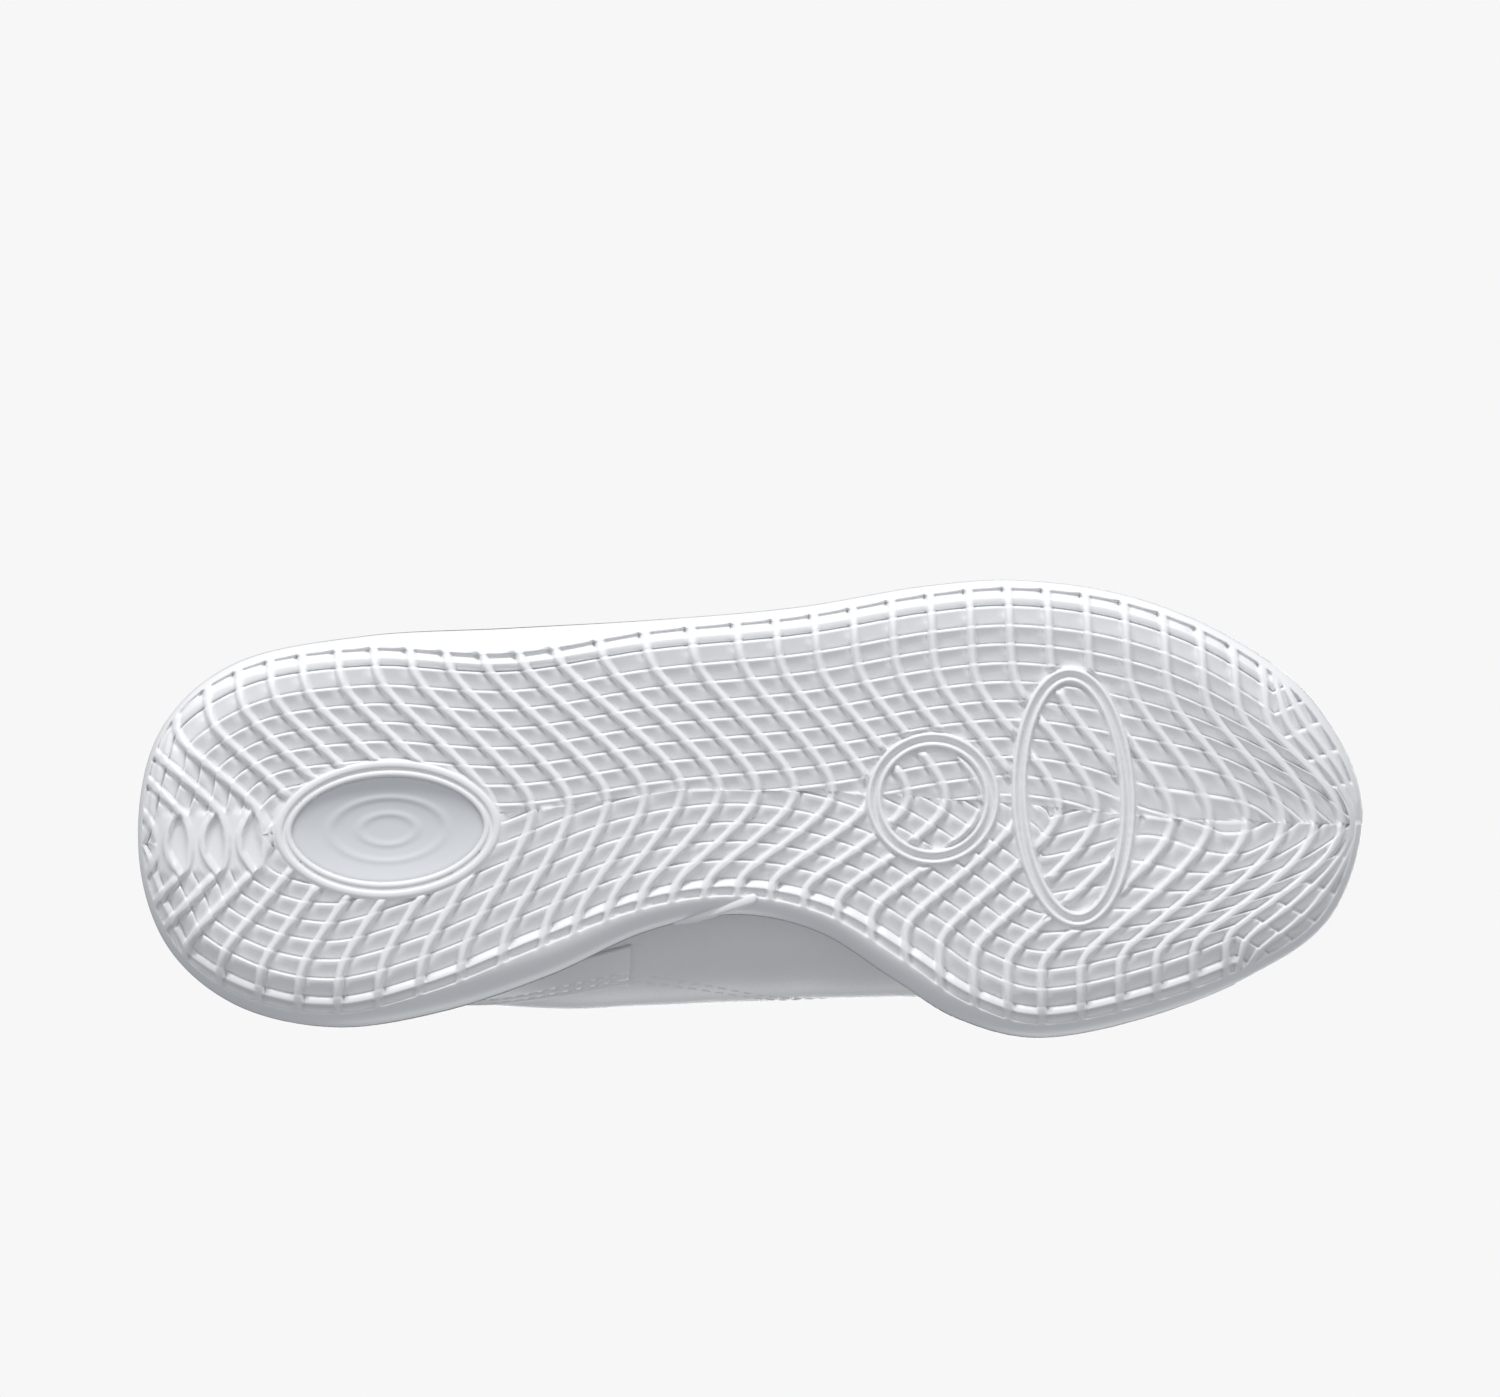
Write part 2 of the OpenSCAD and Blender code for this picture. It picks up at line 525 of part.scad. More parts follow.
// Plain stitched label near the top
module tongue_badge() {
    color("gainsboro")
        difference() {
            translate(tongue_foot + tongue_dir * 96 + tongue_out * 1.55)
                multmatrix([[tongue_dir.x, 0, tongue_out.x, 0], [0, 1, 0, 0], [tongue_dir.z, 0, tongue_out.z, 0],
                            [0, 0, 0, 1]])
                    translate([-6, -9, -0.7]) cube([12, 18, 0.9]);
        }
}

// ---- lace ----
// Straight bars across the throat. Between bars the lace climbs two eyelets under the edge of the
// quarter, and its two ends are tucked in under the arch side.
under = leather + 1.75;     // depth of the climbing runs
bar_rise = gap + leather + 2;
function row_normal(side, k) = outward(side_u(side, eyelet_station(k)), eyelet_v(side, k));
function row_dir(k) =
    let (a = eyelet_at(-1, max(k - 1, 0), 0), b = eyelet_at(-1, min(k + 1, eyelet_count - 1), 0))
    unit([b.x - a.x, 0, b.z - a.z]);
function inward(side, k) = unit(cross(row_dir(k), row_normal(side, k))) * -side;

// Sections are [centre, half width, half thickness], the last two as vectors; turn is 1 or -1.
function rise_through(side, k, turn) =
    let (p = eyelet_at(side, k, 0), n = row_normal(side, k), t = row_dir(k) * turn, y = inward(side, k),
         h = lace_thickness / 2)
    [[p - n * 1.6, t * 1.4, y * 0.8], [p - n * 0.3, t * 1.9, y * 0.8], [p + n * (bar_rise - 0.9), t * 2, y * 0.8],
     [p + n * bar_rise + y * 0.5, t * 2.2, (y - n) * 0.55], [p + n * (bar_rise + 0.3) + y * 1.6, t * 2.4, -n * h],
     [p + n * (bar_rise + 0.2) + y * 5, t * lace_width / 2, -n * h]];
function flip(list) = [for (i = [len(list) - 1 : -1 : 0]) list[i]];
function bar(side, k, turn) =
    let (a = eyelet_at(side, k, 0), b = eyelet_at(-side, k, 0), t = row_dir(k), up = [t.z, 0, -t.x])
    concat(rise_through(side, k, turn),
           [for (f = [0.32, 0.5, 0.68])
               [mix(a, b, f) + up * (bar_rise + 1.6), t * turn * lace_width / 2, -up * lace_thickness / 2]],
           flip(rise_through(-side, k, turn)));
// Run under the edge from eyelet k to eyelet m, shifted towards the throat (+) or away from it (-)
function climb(side, k, m, turn, shift) =
    let (dir = m > k ? 1 : -1, span = abs(m - k))
    [for (f = [0.12 / span, 0.5 / span, 0.5, 1 - 0.5 / span, 1 - 0.12 / span])
        let (r = k + (m - k) * f, a = floor(min(r, eyelet_count - 1.001)), g = r - a,
             p = mix(eyelet_at(side, a, under), eyelet_at(side, a + 1, under), g),
             n = row_normal(side, round(r)), y = inward(side, round(r)),
             e = min(1, 2.4 * min(f, 1 - f) * span))
        [p + y * shift * e, n * turn * dir * 0.6, y * (1 + 0.8 * e)]];
function tail(side, k, turn, reach) =
    let (n = row_normal(side, k), u = side_u(side, eyelet_station(k)), v = eyelet_v(side, k),
         slope = 0.1 / norm(upper_at(u, v) - upper_at(u, v - 0.1)))
    [for (f = [0.1, 0.45, 1])
        [at_depth(u, v + slope * (1.2 - reach * f), under + 0.2 + 2.6 * f), row_dir(k) * turn * 1.2, -n * 0.75]];
top_eyelet = eyelet_count - 1;
lace_path = concat(
    flip([for (s = tail(1, top_eyelet, 1, 15)) [s[0], s[1], s[2]]]),
    bar(1, top_eyelet, 1), climb(-1, top_eyelet, top_eyelet - 2, 1, 3.2),
    bar(-1, top_eyelet - 2, -1), climb(1, top_eyelet - 2, 1, -1, 3.2),
    bar(1, 1, 1), climb(-1, 1, 0, 1, 1),
    bar(-1, 0, -1), climb(1, 0, 2, -1, -3.2),
    bar(1, 2, 1), climb(-1, 2, top_eyelet - 1, 1, -3.2),
    bar(-1, top_eyelet - 1, -1), tail(1, top_eyelet - 1, -1, 15));
module lace() {
    color("white")
        sweep([for (c = lace_path) [for (a = [337.5 : -45 : 0]) c[0] + (c[1] * cos(a) + c[2] * sin(a)) * 1.08]]);
}
// Hard tips on the two tucked ends
module aglets() {
    color("silver") for (e = [[lace_path[0][0], lace_path[1][0]],
                              [lace_path[len(lace_path) - 1][0], lace_path[len(lace_path) - 2][0]]]) {
        z = unit(e[0] - e[1]);
        x = unit(cross([1, 0, 0], z));
        y = cross(z, x);
        p = e[0] + z * 0.6;
        multmatrix([[x.x, y.x, z.x, p.x], [x.y, y.y, z.y, p.y], [x.z, y.z, z.z, p.z], [0, 0, 0, 1]])
            cylinder(d = 2.4, h = 13, $fn = 24);
    }
}

outsole();
heel_window_bezel();
heel_window_lens();
midsole();
strobel_board();
sockliner();
vamp();
toe_cap();
toe_puff();
vamp_lining();
quarter_lateral();
quarter_medial();
quarter_lining();
eyestay_lateral();
eyestay_medial();
eyelets_lateral();
eyelets_medial();
heel_counter();
heel_stiffener();
heel_strip();
heel_tab();
collar_foam();
collar_lining();
collar_binding();
tongue_shell();
tongue_foam();
tongue_lining();
tongue_binding();
tongue_badge();
lace();
aglets();
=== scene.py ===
import math

import bmesh
import bpy
import numpy as np
from mathutils import Matrix, Vector


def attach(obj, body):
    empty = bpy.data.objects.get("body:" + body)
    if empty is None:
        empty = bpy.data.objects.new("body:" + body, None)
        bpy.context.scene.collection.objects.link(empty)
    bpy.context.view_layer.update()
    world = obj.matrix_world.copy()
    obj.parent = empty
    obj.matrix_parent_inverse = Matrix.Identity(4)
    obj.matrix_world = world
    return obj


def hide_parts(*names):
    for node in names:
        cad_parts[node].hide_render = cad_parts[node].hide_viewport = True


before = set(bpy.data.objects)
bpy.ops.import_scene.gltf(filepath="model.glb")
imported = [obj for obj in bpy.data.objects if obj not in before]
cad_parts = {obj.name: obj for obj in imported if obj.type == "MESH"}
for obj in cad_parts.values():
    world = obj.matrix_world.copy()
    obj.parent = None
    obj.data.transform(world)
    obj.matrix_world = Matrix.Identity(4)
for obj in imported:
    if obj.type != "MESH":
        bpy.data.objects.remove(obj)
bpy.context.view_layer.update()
MM = 0.001

# ---------------------------------------------------------------- shared shapes, in millimetres
# The outline of the sole from the heel round the outer side to the toe and back along the arch:
# x, y, inset of the flat tread, height of the rim, inset of the rib ends.
FLAT_INSET, RIM, RIB_INSET = 2, 3, 4
SOLE = np.array([
    [-136, 0, 11, 27, 1.5], [-130.5, -24, 12, 27, 1.2], [-113, -39, 12, 26, 1.6], [-84, -44, 11, 25, 2.6],
    [-52, -44.5, 10, 24, 5.5], [-20, -45, 10, 23, 2.4], [12, -46.5, 10, 22, 2.0], [40, -50, 11, 20.5, 1.8],
    [62, -50.5, 12, 20, 1.6], [86, -46, 13, 20, 1.6], [108, -36, 14, 21.5, 1.6], [126, -21, 15, 24, 2],
    [136, 2, 15, 26, 1.5], [128.5, 26, 15, 24, 2], [110, 39, 14, 21.5, 2.5], [86, 47.5, 13, 20, 3],
    [62, 51, 12, 19.5, 3], [44, 46, 10, 17.5, 4], [30, 36.5, 7, 15, 4.5], [14, 25.5, 6, 13.8, 4],
    [-4, 21, 6, 13.6, 4], [-24, 24, 7, 14.3, 5], [-46, 33, 9, 17, 6.5], [-70, 40, 11, 22, 5],
    [-94, 42.5, 12, 25, 3], [-116, 36.5, 12, 26, 2.5], [-131, 22, 11.5, 27, 2]], float)
TOE_ROW = 12
LEAN, WALL = 1.3, 2.6


def closed_curve(table, u):
    """Catmull-Rom through the rows of a closed table; u is an array from 0 to 1."""
    u = np.asarray(u, float)
    n = len(table)
    s = u * n
    i = np.floor(s).astype(int)
    f = (s - i).reshape(u.shape + (1,) * (table.ndim - 1))
    a, b, c, d = (table[(i + k) % n] for k in (-1, 0, 1, 2))
    return 0.5 * (2 * b + (c - a) * f + (2 * a - 5 * b + 4 * c - d) * f ** 2
                  + (3 * b - a - 3 * c + d) * f ** 3)


def smooth(t):
    t = np.clip(t, 0, 1)
    return t * t * (3 - 2 * t)


def unit(v):
    return v / np.maximum(np.linalg.norm(v, axis=-1, keepdims=True), 1e-12)


def spring(x):
    toe = np.maximum(0, x - 62) / 74
    heel = np.maximum(0, -112 - x) / 24
    return 7 * toe ** 2 + 2.5 * heel ** 2


def around(n):
    """n angles round a full turn."""
    return np.arange(n) / n * 2 * math.pi


def run_length(p):
    """Distance along a row of points from its first one."""
    return np.append(0, np.cumsum(np.linalg.norm(np.diff(p, axis=0), axis=1)))


RING_N = 720
ring_u = np.arange(RING_N) / RING_N
ring = closed_curve(SOLE, ring_u)
ring_xy = ring[:, :2]
tangent = unit(np.roll(ring_xy, -1, 0) - np.roll(ring_xy, 1, 0))
ring_in = np.stack([-tangent[:, 1], tangent[:, 0]], 1)
toe_i = int(round(TOE_ROW / len(SOLE) * RING_N))
lateral = np.arange(0, toe_i + 1)
medial = np.append(np.arange(toe_i, RING_N), 0)


CHUNK = 4000    # points handled at a time, to keep the arrays small


def nearest(points, idx):
    """Distance to part of the outline, and the outline's own values there."""
    a = ring_xy[idx[:-1]]
    b = ring_xy[idx[1:]]
    d = b - a
    dd = (d ** 2).sum(1)
    best = np.full(len(points), 1e9)
    which = np.zeros(len(points), int)
    frac = np.zeros(len(points))
    for lo in range(0, len(points), CHUNK):
        p = points[lo:lo + CHUNK]
        t = np.clip(((p[:, None] - a[None]) * d[None]).sum(2) / dd, 0, 1)
        q = a[None] + t[..., None] * d[None]
        e = ((p[:, None] - q) ** 2).sum(2)
        k = e.argmin(1)
        r = np.arange(len(p))
        best[lo:lo + CHUNK] = np.sqrt(e[r, k])
        which[lo:lo + CHUNK] = k
        frac[lo:lo + CHUNK] = t[r, k]
    w = frac[:, None]
    return best, ring[idx[:-1]][which] * (1 - w) + ring[idx[1:]][which] * w


def inside(points):
    a = ring_xy
    b = np.roll(ring_xy, -1, 0)
    out = np.zeros(len(points), bool)
    for lo in range(0, len(points), CHUNK):
        p = points[lo:lo + CHUNK]
        up = (a[None, :, 1] > p[:, None, 1]) != (b[None, :, 1] > p[:, None, 1])
        with np.errstate(divide="ignore", invalid="ignore"):
            x = (b[:, 0] - a[:, 0]) * (p[:, None, 1] - a[:, 1]) / (b[:, 1] - a[:, 1]) + a[:, 0]
        out[lo:lo + CHUNK] = (up & (p[:, None, 0] < x)).sum(1) % 2 == 1
    return out


# ---------------------------------------------------------------- meshes
def mesh_object(name, verts, faces, material, shade=True):
    mesh = bpy.data.meshes.new(name)
    places = [tuple(v) for v in np.asarray(verts, float) * MM]
    mesh.from_pydata(places, [], [tuple(map(int, f)) for f in faces])
    mesh.validate()
    mesh.update()
    obj = bpy.data.objects.new(name, mesh)
    bpy.context.scene.collection.objects.link(obj)
    mesh.materials.append(material)
    if shade:
        mesh.polygons.foreach_set("use_smooth", [True] * len(mesh.polygons))
    return obj


def grid_faces(rows, cols, offset=0, flip=False, wrap=False):
    last = cols if wrap else cols - 1
    r, c = np.meshgrid(np.arange(rows - 1), np.arange(last), indexing="ij")
    c2 = (c + 1) % cols
    q = np.stack([r * cols + c, r * cols + c2, (r + 1) * cols + c2, (r + 1) * cols + c], -1)
    q = q.reshape(-1, 4) + offset
    return (q[:, ::-1] if flip else q).tolist()


def tube_faces(count, n, offset=0, flip=False):
    """Faces of a tube of count rings of n points, with both ends closed."""
    first = (offset + np.arange(n)).tolist()
    last = (offset + (count - 1) * n + np.arange(n)).tolist()
    ends = [first, last[::-1]] if flip else [first[::-1], last]
    return grid_faces(count, n, offset=offset, wrap=True, flip=flip) + ends


def rim_faces(n, m):
    """Quads that join the borders of two n by m grids, the second one's points after the first's."""
    loop = np.concatenate([np.arange(m), np.arange(1, n) * m + m - 1, (n - 1) * m + np.arange(m - 2, -1, -1),
                           np.arange(n - 2, 0, -1) * m])
    nxt = np.roll(loop, -1)
    return np.stack([loop, nxt, nxt + n * m, loop + n * m], 1)


def weld(obj, dist=1e-6):
    bm = bmesh.new()
    bm.from_mesh(obj.data)
    bmesh.ops.remove_doubles(bm, verts=bm.verts, dist=dist)
    bmesh.ops.recalc_face_normals(bm, faces=bm.faces)
    bm.to_mesh(obj.data)
    bm.free()


def put(o, nodes, body="shoe"):
    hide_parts(*([nodes] if isinstance(nodes, str) else nodes))
    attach(o, body)
    return o


# ---------------------------------------------------------------- materials
def set_inputs(node, values):
    for name, value in values.items():
        node.inputs[name.replace("_", " ")].default_value = value
    return node


def add_node(tree, kind, **values):
    return set_inputs(tree.nodes.new("ShaderNode" + kind), values)


def principled(name, color, rough, **kw):
    m = bpy.data.materials.new(name)
    m.use_nodes = True
    set_inputs(m.node_tree.nodes["Principled BSDF"], {"Base_Color": (*color, 1), "Roughness": rough, **kw})
    return m


def add_bump(m, scale, strength, distance, kind="NOISE", stretch=(1, 1, 1)):
    nt = m.node_tree
    b = nt.nodes["Principled BSDF"]
    tc = add_node(nt, "TexCoord")
    mp = add_node(nt, "Mapping", Scale=stretch)
    nt.links.new(tc.outputs["Object"], mp.inputs["Vector"])
    if kind == "NOISE":
        t = add_node(nt, "TexNoise", Scale=scale, Detail=4.0)
        out = t.outputs["Fac"]
    else:
        t = add_node(nt, "TexVoronoi", Scale=scale)
        out = t.outputs["Distance"]
    nt.links.new(mp.outputs["Vector"], t.inputs["Vector"])
    bump = add_node(nt, "Bump", Strength=strength, Distance=distance)
    nt.links.new(out, bump.inputs["Height"])
    if b.inputs["Normal"].is_linked:
        nt.links.new(b.inputs["Normal"].links[0].from_socket, bump.inputs["Normal"])
    nt.links.new(bump.outputs["Normal"], b.inputs["Normal"])


def add_tint(m, color_a, color_b, scale):
    nt = m.node_tree
    b = nt.nodes["Principled BSDF"]
    tc = add_node(nt, "TexCoord")
    t = add_node(nt, "TexNoise", Scale=scale, Detail=3)
    nt.links.new(tc.outputs["Object"], t.inputs["Vector"])
    ramp = add_node(nt, "ValToRGB")
    for stop, at, tone in zip(ramp.color_ramp.elements, (0.3, 0.7), (color_a, color_b)):
        stop.position = at
        stop.color = (*tone, 1)
    nt.links.new(t.outputs["Fac"], ramp.inputs["Fac"])
    nt.links.new(ramp.outputs["Color"], b.inputs["Base Color"])


def mottled(name, color, rough, tones, spread, bump, **kw):
    """Colour that wanders between two tones, under a fine bump (scale, strength, distance, kind)."""
    m = principled(name, color, rough, **kw)
    add_tint(m, *tones, spread)
    add_bump(m, *bump)
    return m


rubber = mottled("white_rubber", (0.80, 0.81, 0.825), 0.42,
                 ((0.79, 0.80, 0.815), (0.81, 0.82, 0.832)), 60, (1500, 0.12, 0.0002))

# ---------------------------------------------------------------- outsole
RIB_PITCH = 8.3
RIB_HALF = 0.95
TILE_PITCH = 4.15


def apex_x(k):
    k = np.asarray(k, float)
    over = np.maximum(0, k - 25)
    return -97.8 + RIB_PITCH * k - 0.42 * over ** 2


def apex_y(x):
    return np.interp(x, [-136, -132.5, -90, -47, -14.4, 19, 61, 93.3, 132, 136],
                     [0.2, 0.2, -1.8, -4.1, -7.2, -5.4, -0.9, 3.7, 6.4, 6.4])


lat_x, lat_y = ring_xy[lateral, 0], ring_xy[lateral, 1]
med_x, med_y = ring_xy[medial, 0][::-1], ring_xy[medial, 1][::-1]


def rib_curve(k, side, y_abs):
    """Plan points of rib k on one side of the apex line, at distances y_abs from it."""
    xa = apex_x(k)
    ya = apex_y(xa)
    # behind the window the ribs keep one shape
    shift = 0.0
    if k < -0.8:
        shift = xa - apex_x(-0.8)
        k, xa = -0.8, apex_x(-0.8)
    if side < 0:
        back = np.interp(k, [-4, 0, 3, 10, 14, 23, 28], [17, 21, 24.5, 27, 19.5, 17, 16])
        share = np.interp(k, [-4, 0, 10, 20, 28], [0.31, 0.31, 0.21, 0.45, 0.45])
        half = ya - np.interp(xa - back, lat_x, lat_y)
    else:
        back = np.interp(k, [-4, 0, 3, 8, 10, 18, 23, 26, 28], [18, 21, 20, 16, 18, 26, 30.5, 29.5, 27])
        share = np.interp(k, [-4, 0, 10, 20, 28], [0.27, 0.27, 0.30, 0.38, 0.38])
        half = np.interp(xa - back, med_x, med_y) - ya
    half = max(half, 6)
    share = share + 0.07
    round_in = float(np.interp(k, [-4, 0, 10, 20, 28], [9, 7, 5.5, 7, 12]))
    round_out = 2.0
    slope = back / max((1 - share) * half - 0.45 * round_in, 6)
    g = slope * (np.sqrt(y_abs ** 2 + round_in ** 2) - round_in)
    g = -round_out * np.log(np.exp(-g / round_out) + math.exp(-back / round_out))
    g = g + round_out * math.log(1 + math.exp(-back / round_out))
    x = xa + shift - g
    return np.stack([x, ya + side * y_abs], 1)


offsets = np.array([-4.15, -2.7, -1.7, -1.3, -0.95, -0.62, 0.0, 0.62, 0.95, 1.3, 1.7, 2.7])
K0, K1 = -4, 28
ks = []
for k in range(K0, K1 + 1):
    for o in offsets:
        ks.append(k + o / RIB_PITCH)
ks += [k + o for k in range(-5, -1) for o in (-0.43, -0.37, -0.25, 0.25, 0.28, 0.37, 0.43)]
ks = sorted(ks)
ks = np.array([k for k in ks if -135.6 < apex_x(k) < 133.6])
# knots across one tile, in from the outline: groove, crisp lip, slope down to the next groove
TILE_AT = np.array([0, 0.30, 0.50, 0.85, 1.9, 2.2, 2.6, 3.55, 3.85])
TILE_DEPTH = np.array([2.2, 0.45, 0.25, 0.45, 0.96, 1.10, 1.26, 1.65, 1.80, 2.2])
edge_f = np.array([0, 0.14, 0.30, 0.46, 0.62, 0.76, 0.88])
tile_w = (TILE_AT[None] + TILE_PITCH * np.arange(12)[:, None]).reshape(-1)
HALF_COLS = len(edge_f) + len(tile_w)
cols = 2 * HALF_COLS + 1
rows = len(ks)
plan = np.zeros((rows, cols, 2))
w_grid = np.zeros((rows, cols))
pitch_grid = np.zeros((rows, cols))
step = np.linspace(0, 75, 500)
DENSE = 120
for side in (-1, 1):
    lines = np.array([rib_curve(k, side, step) for k in ks])
    along_line = unit(np.gradient(lines, axis=1))
    across = np.gradient(lines, ks, axis=0)
    spacing = np.abs(across[..., 0] * along_line[..., 1] - across[..., 1] * along_line[..., 0])
    ok = inside(lines.reshape(-1, 2)).reshape(rows, -1)
    dense = np.zeros((rows, DENSE, 2))
    arcs = np.zeros((rows, DENSE))
    dense_pitch = np.zeros((rows, DENSE))
    for i in range(rows):
        stop = int(np.argmin(ok[i])) if not ok[i].all() else len(step) - 1
        if stop == 0:
            pts = np.repeat(lines[i][:1], 2, 0)
            own = spacing[i][:2]
        else:
            lo, hi = lines[i][stop - 1], lines[i][stop]
            for _ in range(12):
                mid = (lo + hi) / 2
                if inside(mid[None])[0]:
                    lo = mid
                else:
                    hi = mid
            pts = np.vstack([lines[i][:stop], lo[None]])
            own = spacing[i][:stop + 1]
        pts, own = pts[::-1], own[::-1]
        arc = run_length(pts)
        t = np.linspace(0, arc[-1], DENSE)
        arcs[i] = t
        dense[i] = np.stack([np.interp(t, arc, pts[:, 0]), np.interp(t, arc, pts[:, 1])], 1)
        dense_pitch[i] = np.interp(t, arc, own)
    d, value = nearest(dense.reshape(-1, 2), lateral if side < 0 else medial)
    d, inset = d.reshape(rows, DENSE), value[:, RIB_INSET].reshape(rows, DENSE)
    # round the heel the tiles are counted along the ribs, elsewhere in from the outline
    mix_h = np.maximum(smooth((1.5 - ks) / 3.0), 0.62 * smooth((ks - 21.5) / 4.0))[:, None]
    w_line = np.maximum.accumulate((d - inset) * (1 - mix_h) + (arcs - inset) * mix_h, axis=1)
    for i in range(rows):
        target = np.concatenate([w_line[i][0] * (1 - edge_f), tile_w])
        t = np.interp(target, w_line[i], arcs[i])
        xy = np.stack([np.interp(t, arcs[i], dense[i][:, 0]), np.interp(t, arcs[i], dense[i][:, 1])], 1)
        w_own = np.minimum(target, w_line[i][-1])
        own = np.interp(t, arcs[i], dense_pitch[i])
        if side < 0:
            plan[i, :HALF_COLS + 1] = np.vstack([xy, dense[i][-1:]])
            w_grid[i, :HALF_COLS + 1] = np.append(w_own, w_line[i][-1])
            pitch_grid[i, :HALF_COLS + 1] = np.append(own, own[-1])
        else:
            plan[i, HALF_COLS + 1:] = xy[::-1]
            w_grid[i, HALF_COLS + 1:] = w_own[::-1]
            pitch_grid[i, HALF_COLS + 1:] = own[::-1]
# crescents between the first and last ribs and the outline itself
FRONT_RIBS = 3.0
FRONT_ROWS = 43


def crescent(edge, front, n=17):
    e0, e1 = edge[0], edge[-1]
    i0 = int(np.argmin(((ring_xy - e0) ** 2).sum(1)))
    i1 = int(np.argmin(((ring_xy - e1) ** 2).sum(1)))
    if front:
        arc = ring_xy[i0:i1 + 1]
    else:
        arc = np.vstack([ring_xy[:i0 + 1][::-1], ring_xy[i1:][::-1]]) if i1 > i0 else ring_xy[i0:i1 + 1]
    arc = np.vstack([e0[None], arc[1:-1], e1[None]])
    seg, own = run_length(arc), run_length(edge)
    t = own / max(own[-1], 1e-9) * seg[-1]
    line = np.stack([np.interp(t, seg, arc[:, 0]), np.interp(t, seg, arc[:, 1])], 1)
    r = np.linspace(0, 1, n)[1:, None, None]
    return edge[None] * (1 - r) + line[None] * r


front = crescent(plan[-1], True, FRONT_ROWS)
rear = crescent(plan[0], False)[::-1]
front_k = math.floor(ks[-1]) + (ks[-1] % 1) + np.linspace(0, FRONT_RIBS, FRONT_ROWS)[1:]
rib_pos = np.concatenate([np.full(len(rear), np.nan), ks, front_k])
front_pitch = np.linalg.norm(front[-1] - plan[-1], axis=1) / FRONT_RIBS
plan = np.concatenate([rear, plan, front])
w_grid = np.concatenate([np.repeat(w_grid[:1], len(rear), 0), w_grid, np.repeat(w_grid[-1:], len(front), 0)])
pitch_grid = np.concatenate([np.repeat(pitch_grid[:1], len(rear), 0), pitch_grid,
                             np.repeat(front_pitch[None], len(front), 0)])
rows = len(plan)
flat = plan.reshape(-1, 2)
d_lat, v_lat = nearest(flat, lateral)
d_med, v_med = nearest(flat, medial)
near_lat = d_lat <= d_med
edge_d = np.where(near_lat, d_lat, d_med)
edge_v = np.where(near_lat[:, None], v_lat, v_med)


def base_height(d, value):
    """Height of the sole's envelope at distance d in from the outline."""
    t = np.clip(1 - d / value[:, FLAT_INSET], 0, 1)
    t = np.arcsin(t) / (math.pi / 2)
    rise = 0.45 * value[:, RIM]
    return rise * (1 - np.cos(t * math.pi / 2)), t


height, wrap_t = base_height(edge_d, edge_v)
height = height + spring(flat[:, 0]) * (1 - 0.6 * wrap_t)

side_lat = np.tile(np.arange(cols) <= HALF_COLS, rows)
own_d = np.where(side_lat, d_lat, d_med)
own_v = np.where(side_lat[:, None], v_lat, v_med)
edge_w = own_d - own_v[:, RIB_INSET]
w = w_grid.reshape(-1)
frac = np.mod(w + 1e-6, TILE_PITCH)
tile = np.interp(frac, np.append(TILE_AT, TILE_PITCH), TILE_DEPTH)
# on the arch side the same lips face the outer side too
back_f = np.interp(frac, [0, 0.3, 0.6, 0.75, 1.9, 3.3, 3.65, 3.9, TILE_PITCH],
                   [2.2, 1.80, 1.72, 1.66, 1.10, 0.45, 0.25, 0.45, 2.2])
tile = np.where(side_lat, tile, back_f)
# the row by the edge is a shallow pocket, a band and a short slope
pocket = np.interp(w, np.append(TILE_AT, TILE_PITCH), [0, 0.05, 0.85, 1.0, 0.95, 0.1, 0.1, 0.9, 1.2, 2.2])
tile = np.where(w < TILE_PITCH, pocket, tile)
# ribs
k_all = np.repeat(rib_pos, cols)
has_rib = np.isfinite(k_all)
k_near = np.round(np.where(has_rib, k_all, 0))
local_pitch = np.clip(pitch_grid.reshape(-1), 0.9, 9)
off = np.where(has_rib, k_all, 0) - k_near
ds = off * local_pitch
rib_half = np.minimum(RIB_HALF, 0.33 * local_pitch)
rib = np.clip(1 - np.abs(ds / rib_half) ** 3.6, 0, 1) ** 0.8
rib = np.where(has_rib, rib, 0)
# the foot of each tile's leading edge turns down beside the rib
toe_side = np.exp(-((np.where(side_lat, ds, -ds) + 1.45) / 0.33) ** 2)
lean_in = np.where(side_lat, frac, TILE_PITCH - frac) / TILE_PITCH
hook = 1.25 * toe_side * (1 - smooth((lean_in - 0.12) / 0.6)) * (lean_in > 0.05)
hook = np.where(has_rib & (local_pitch > 5), hook, 0)
# a shallow trough along both feet of each rib
trough = 0.16 * np.exp(-((np.abs(ds) - 1.3) / 0.3) ** 2) * (local_pitch > 4)
hook = hook + np.where(has_rib, trough, 0)
deep = (tile + hook) * (1 - rib)
mask = smooth((edge_w + 0.10) / 0.45)
deep = deep * mask
# the tip of the heel behind the last rib is nearly plain
deep = np.where(has_rib, deep, 0.25 * mask)
# the ribs round the toe run out plain where they crowd together at the outline
by_toe = np.nan_to_num(k_all, nan=-99.0) > ks[-1] - 0.9
crowded = np.where(by_toe, 1 - smooth((pitch_grid.reshape(-1) - 1.1) / 1.3), 0)
deep = deep * (1 - crowded) + 0.3 * mask * crowded
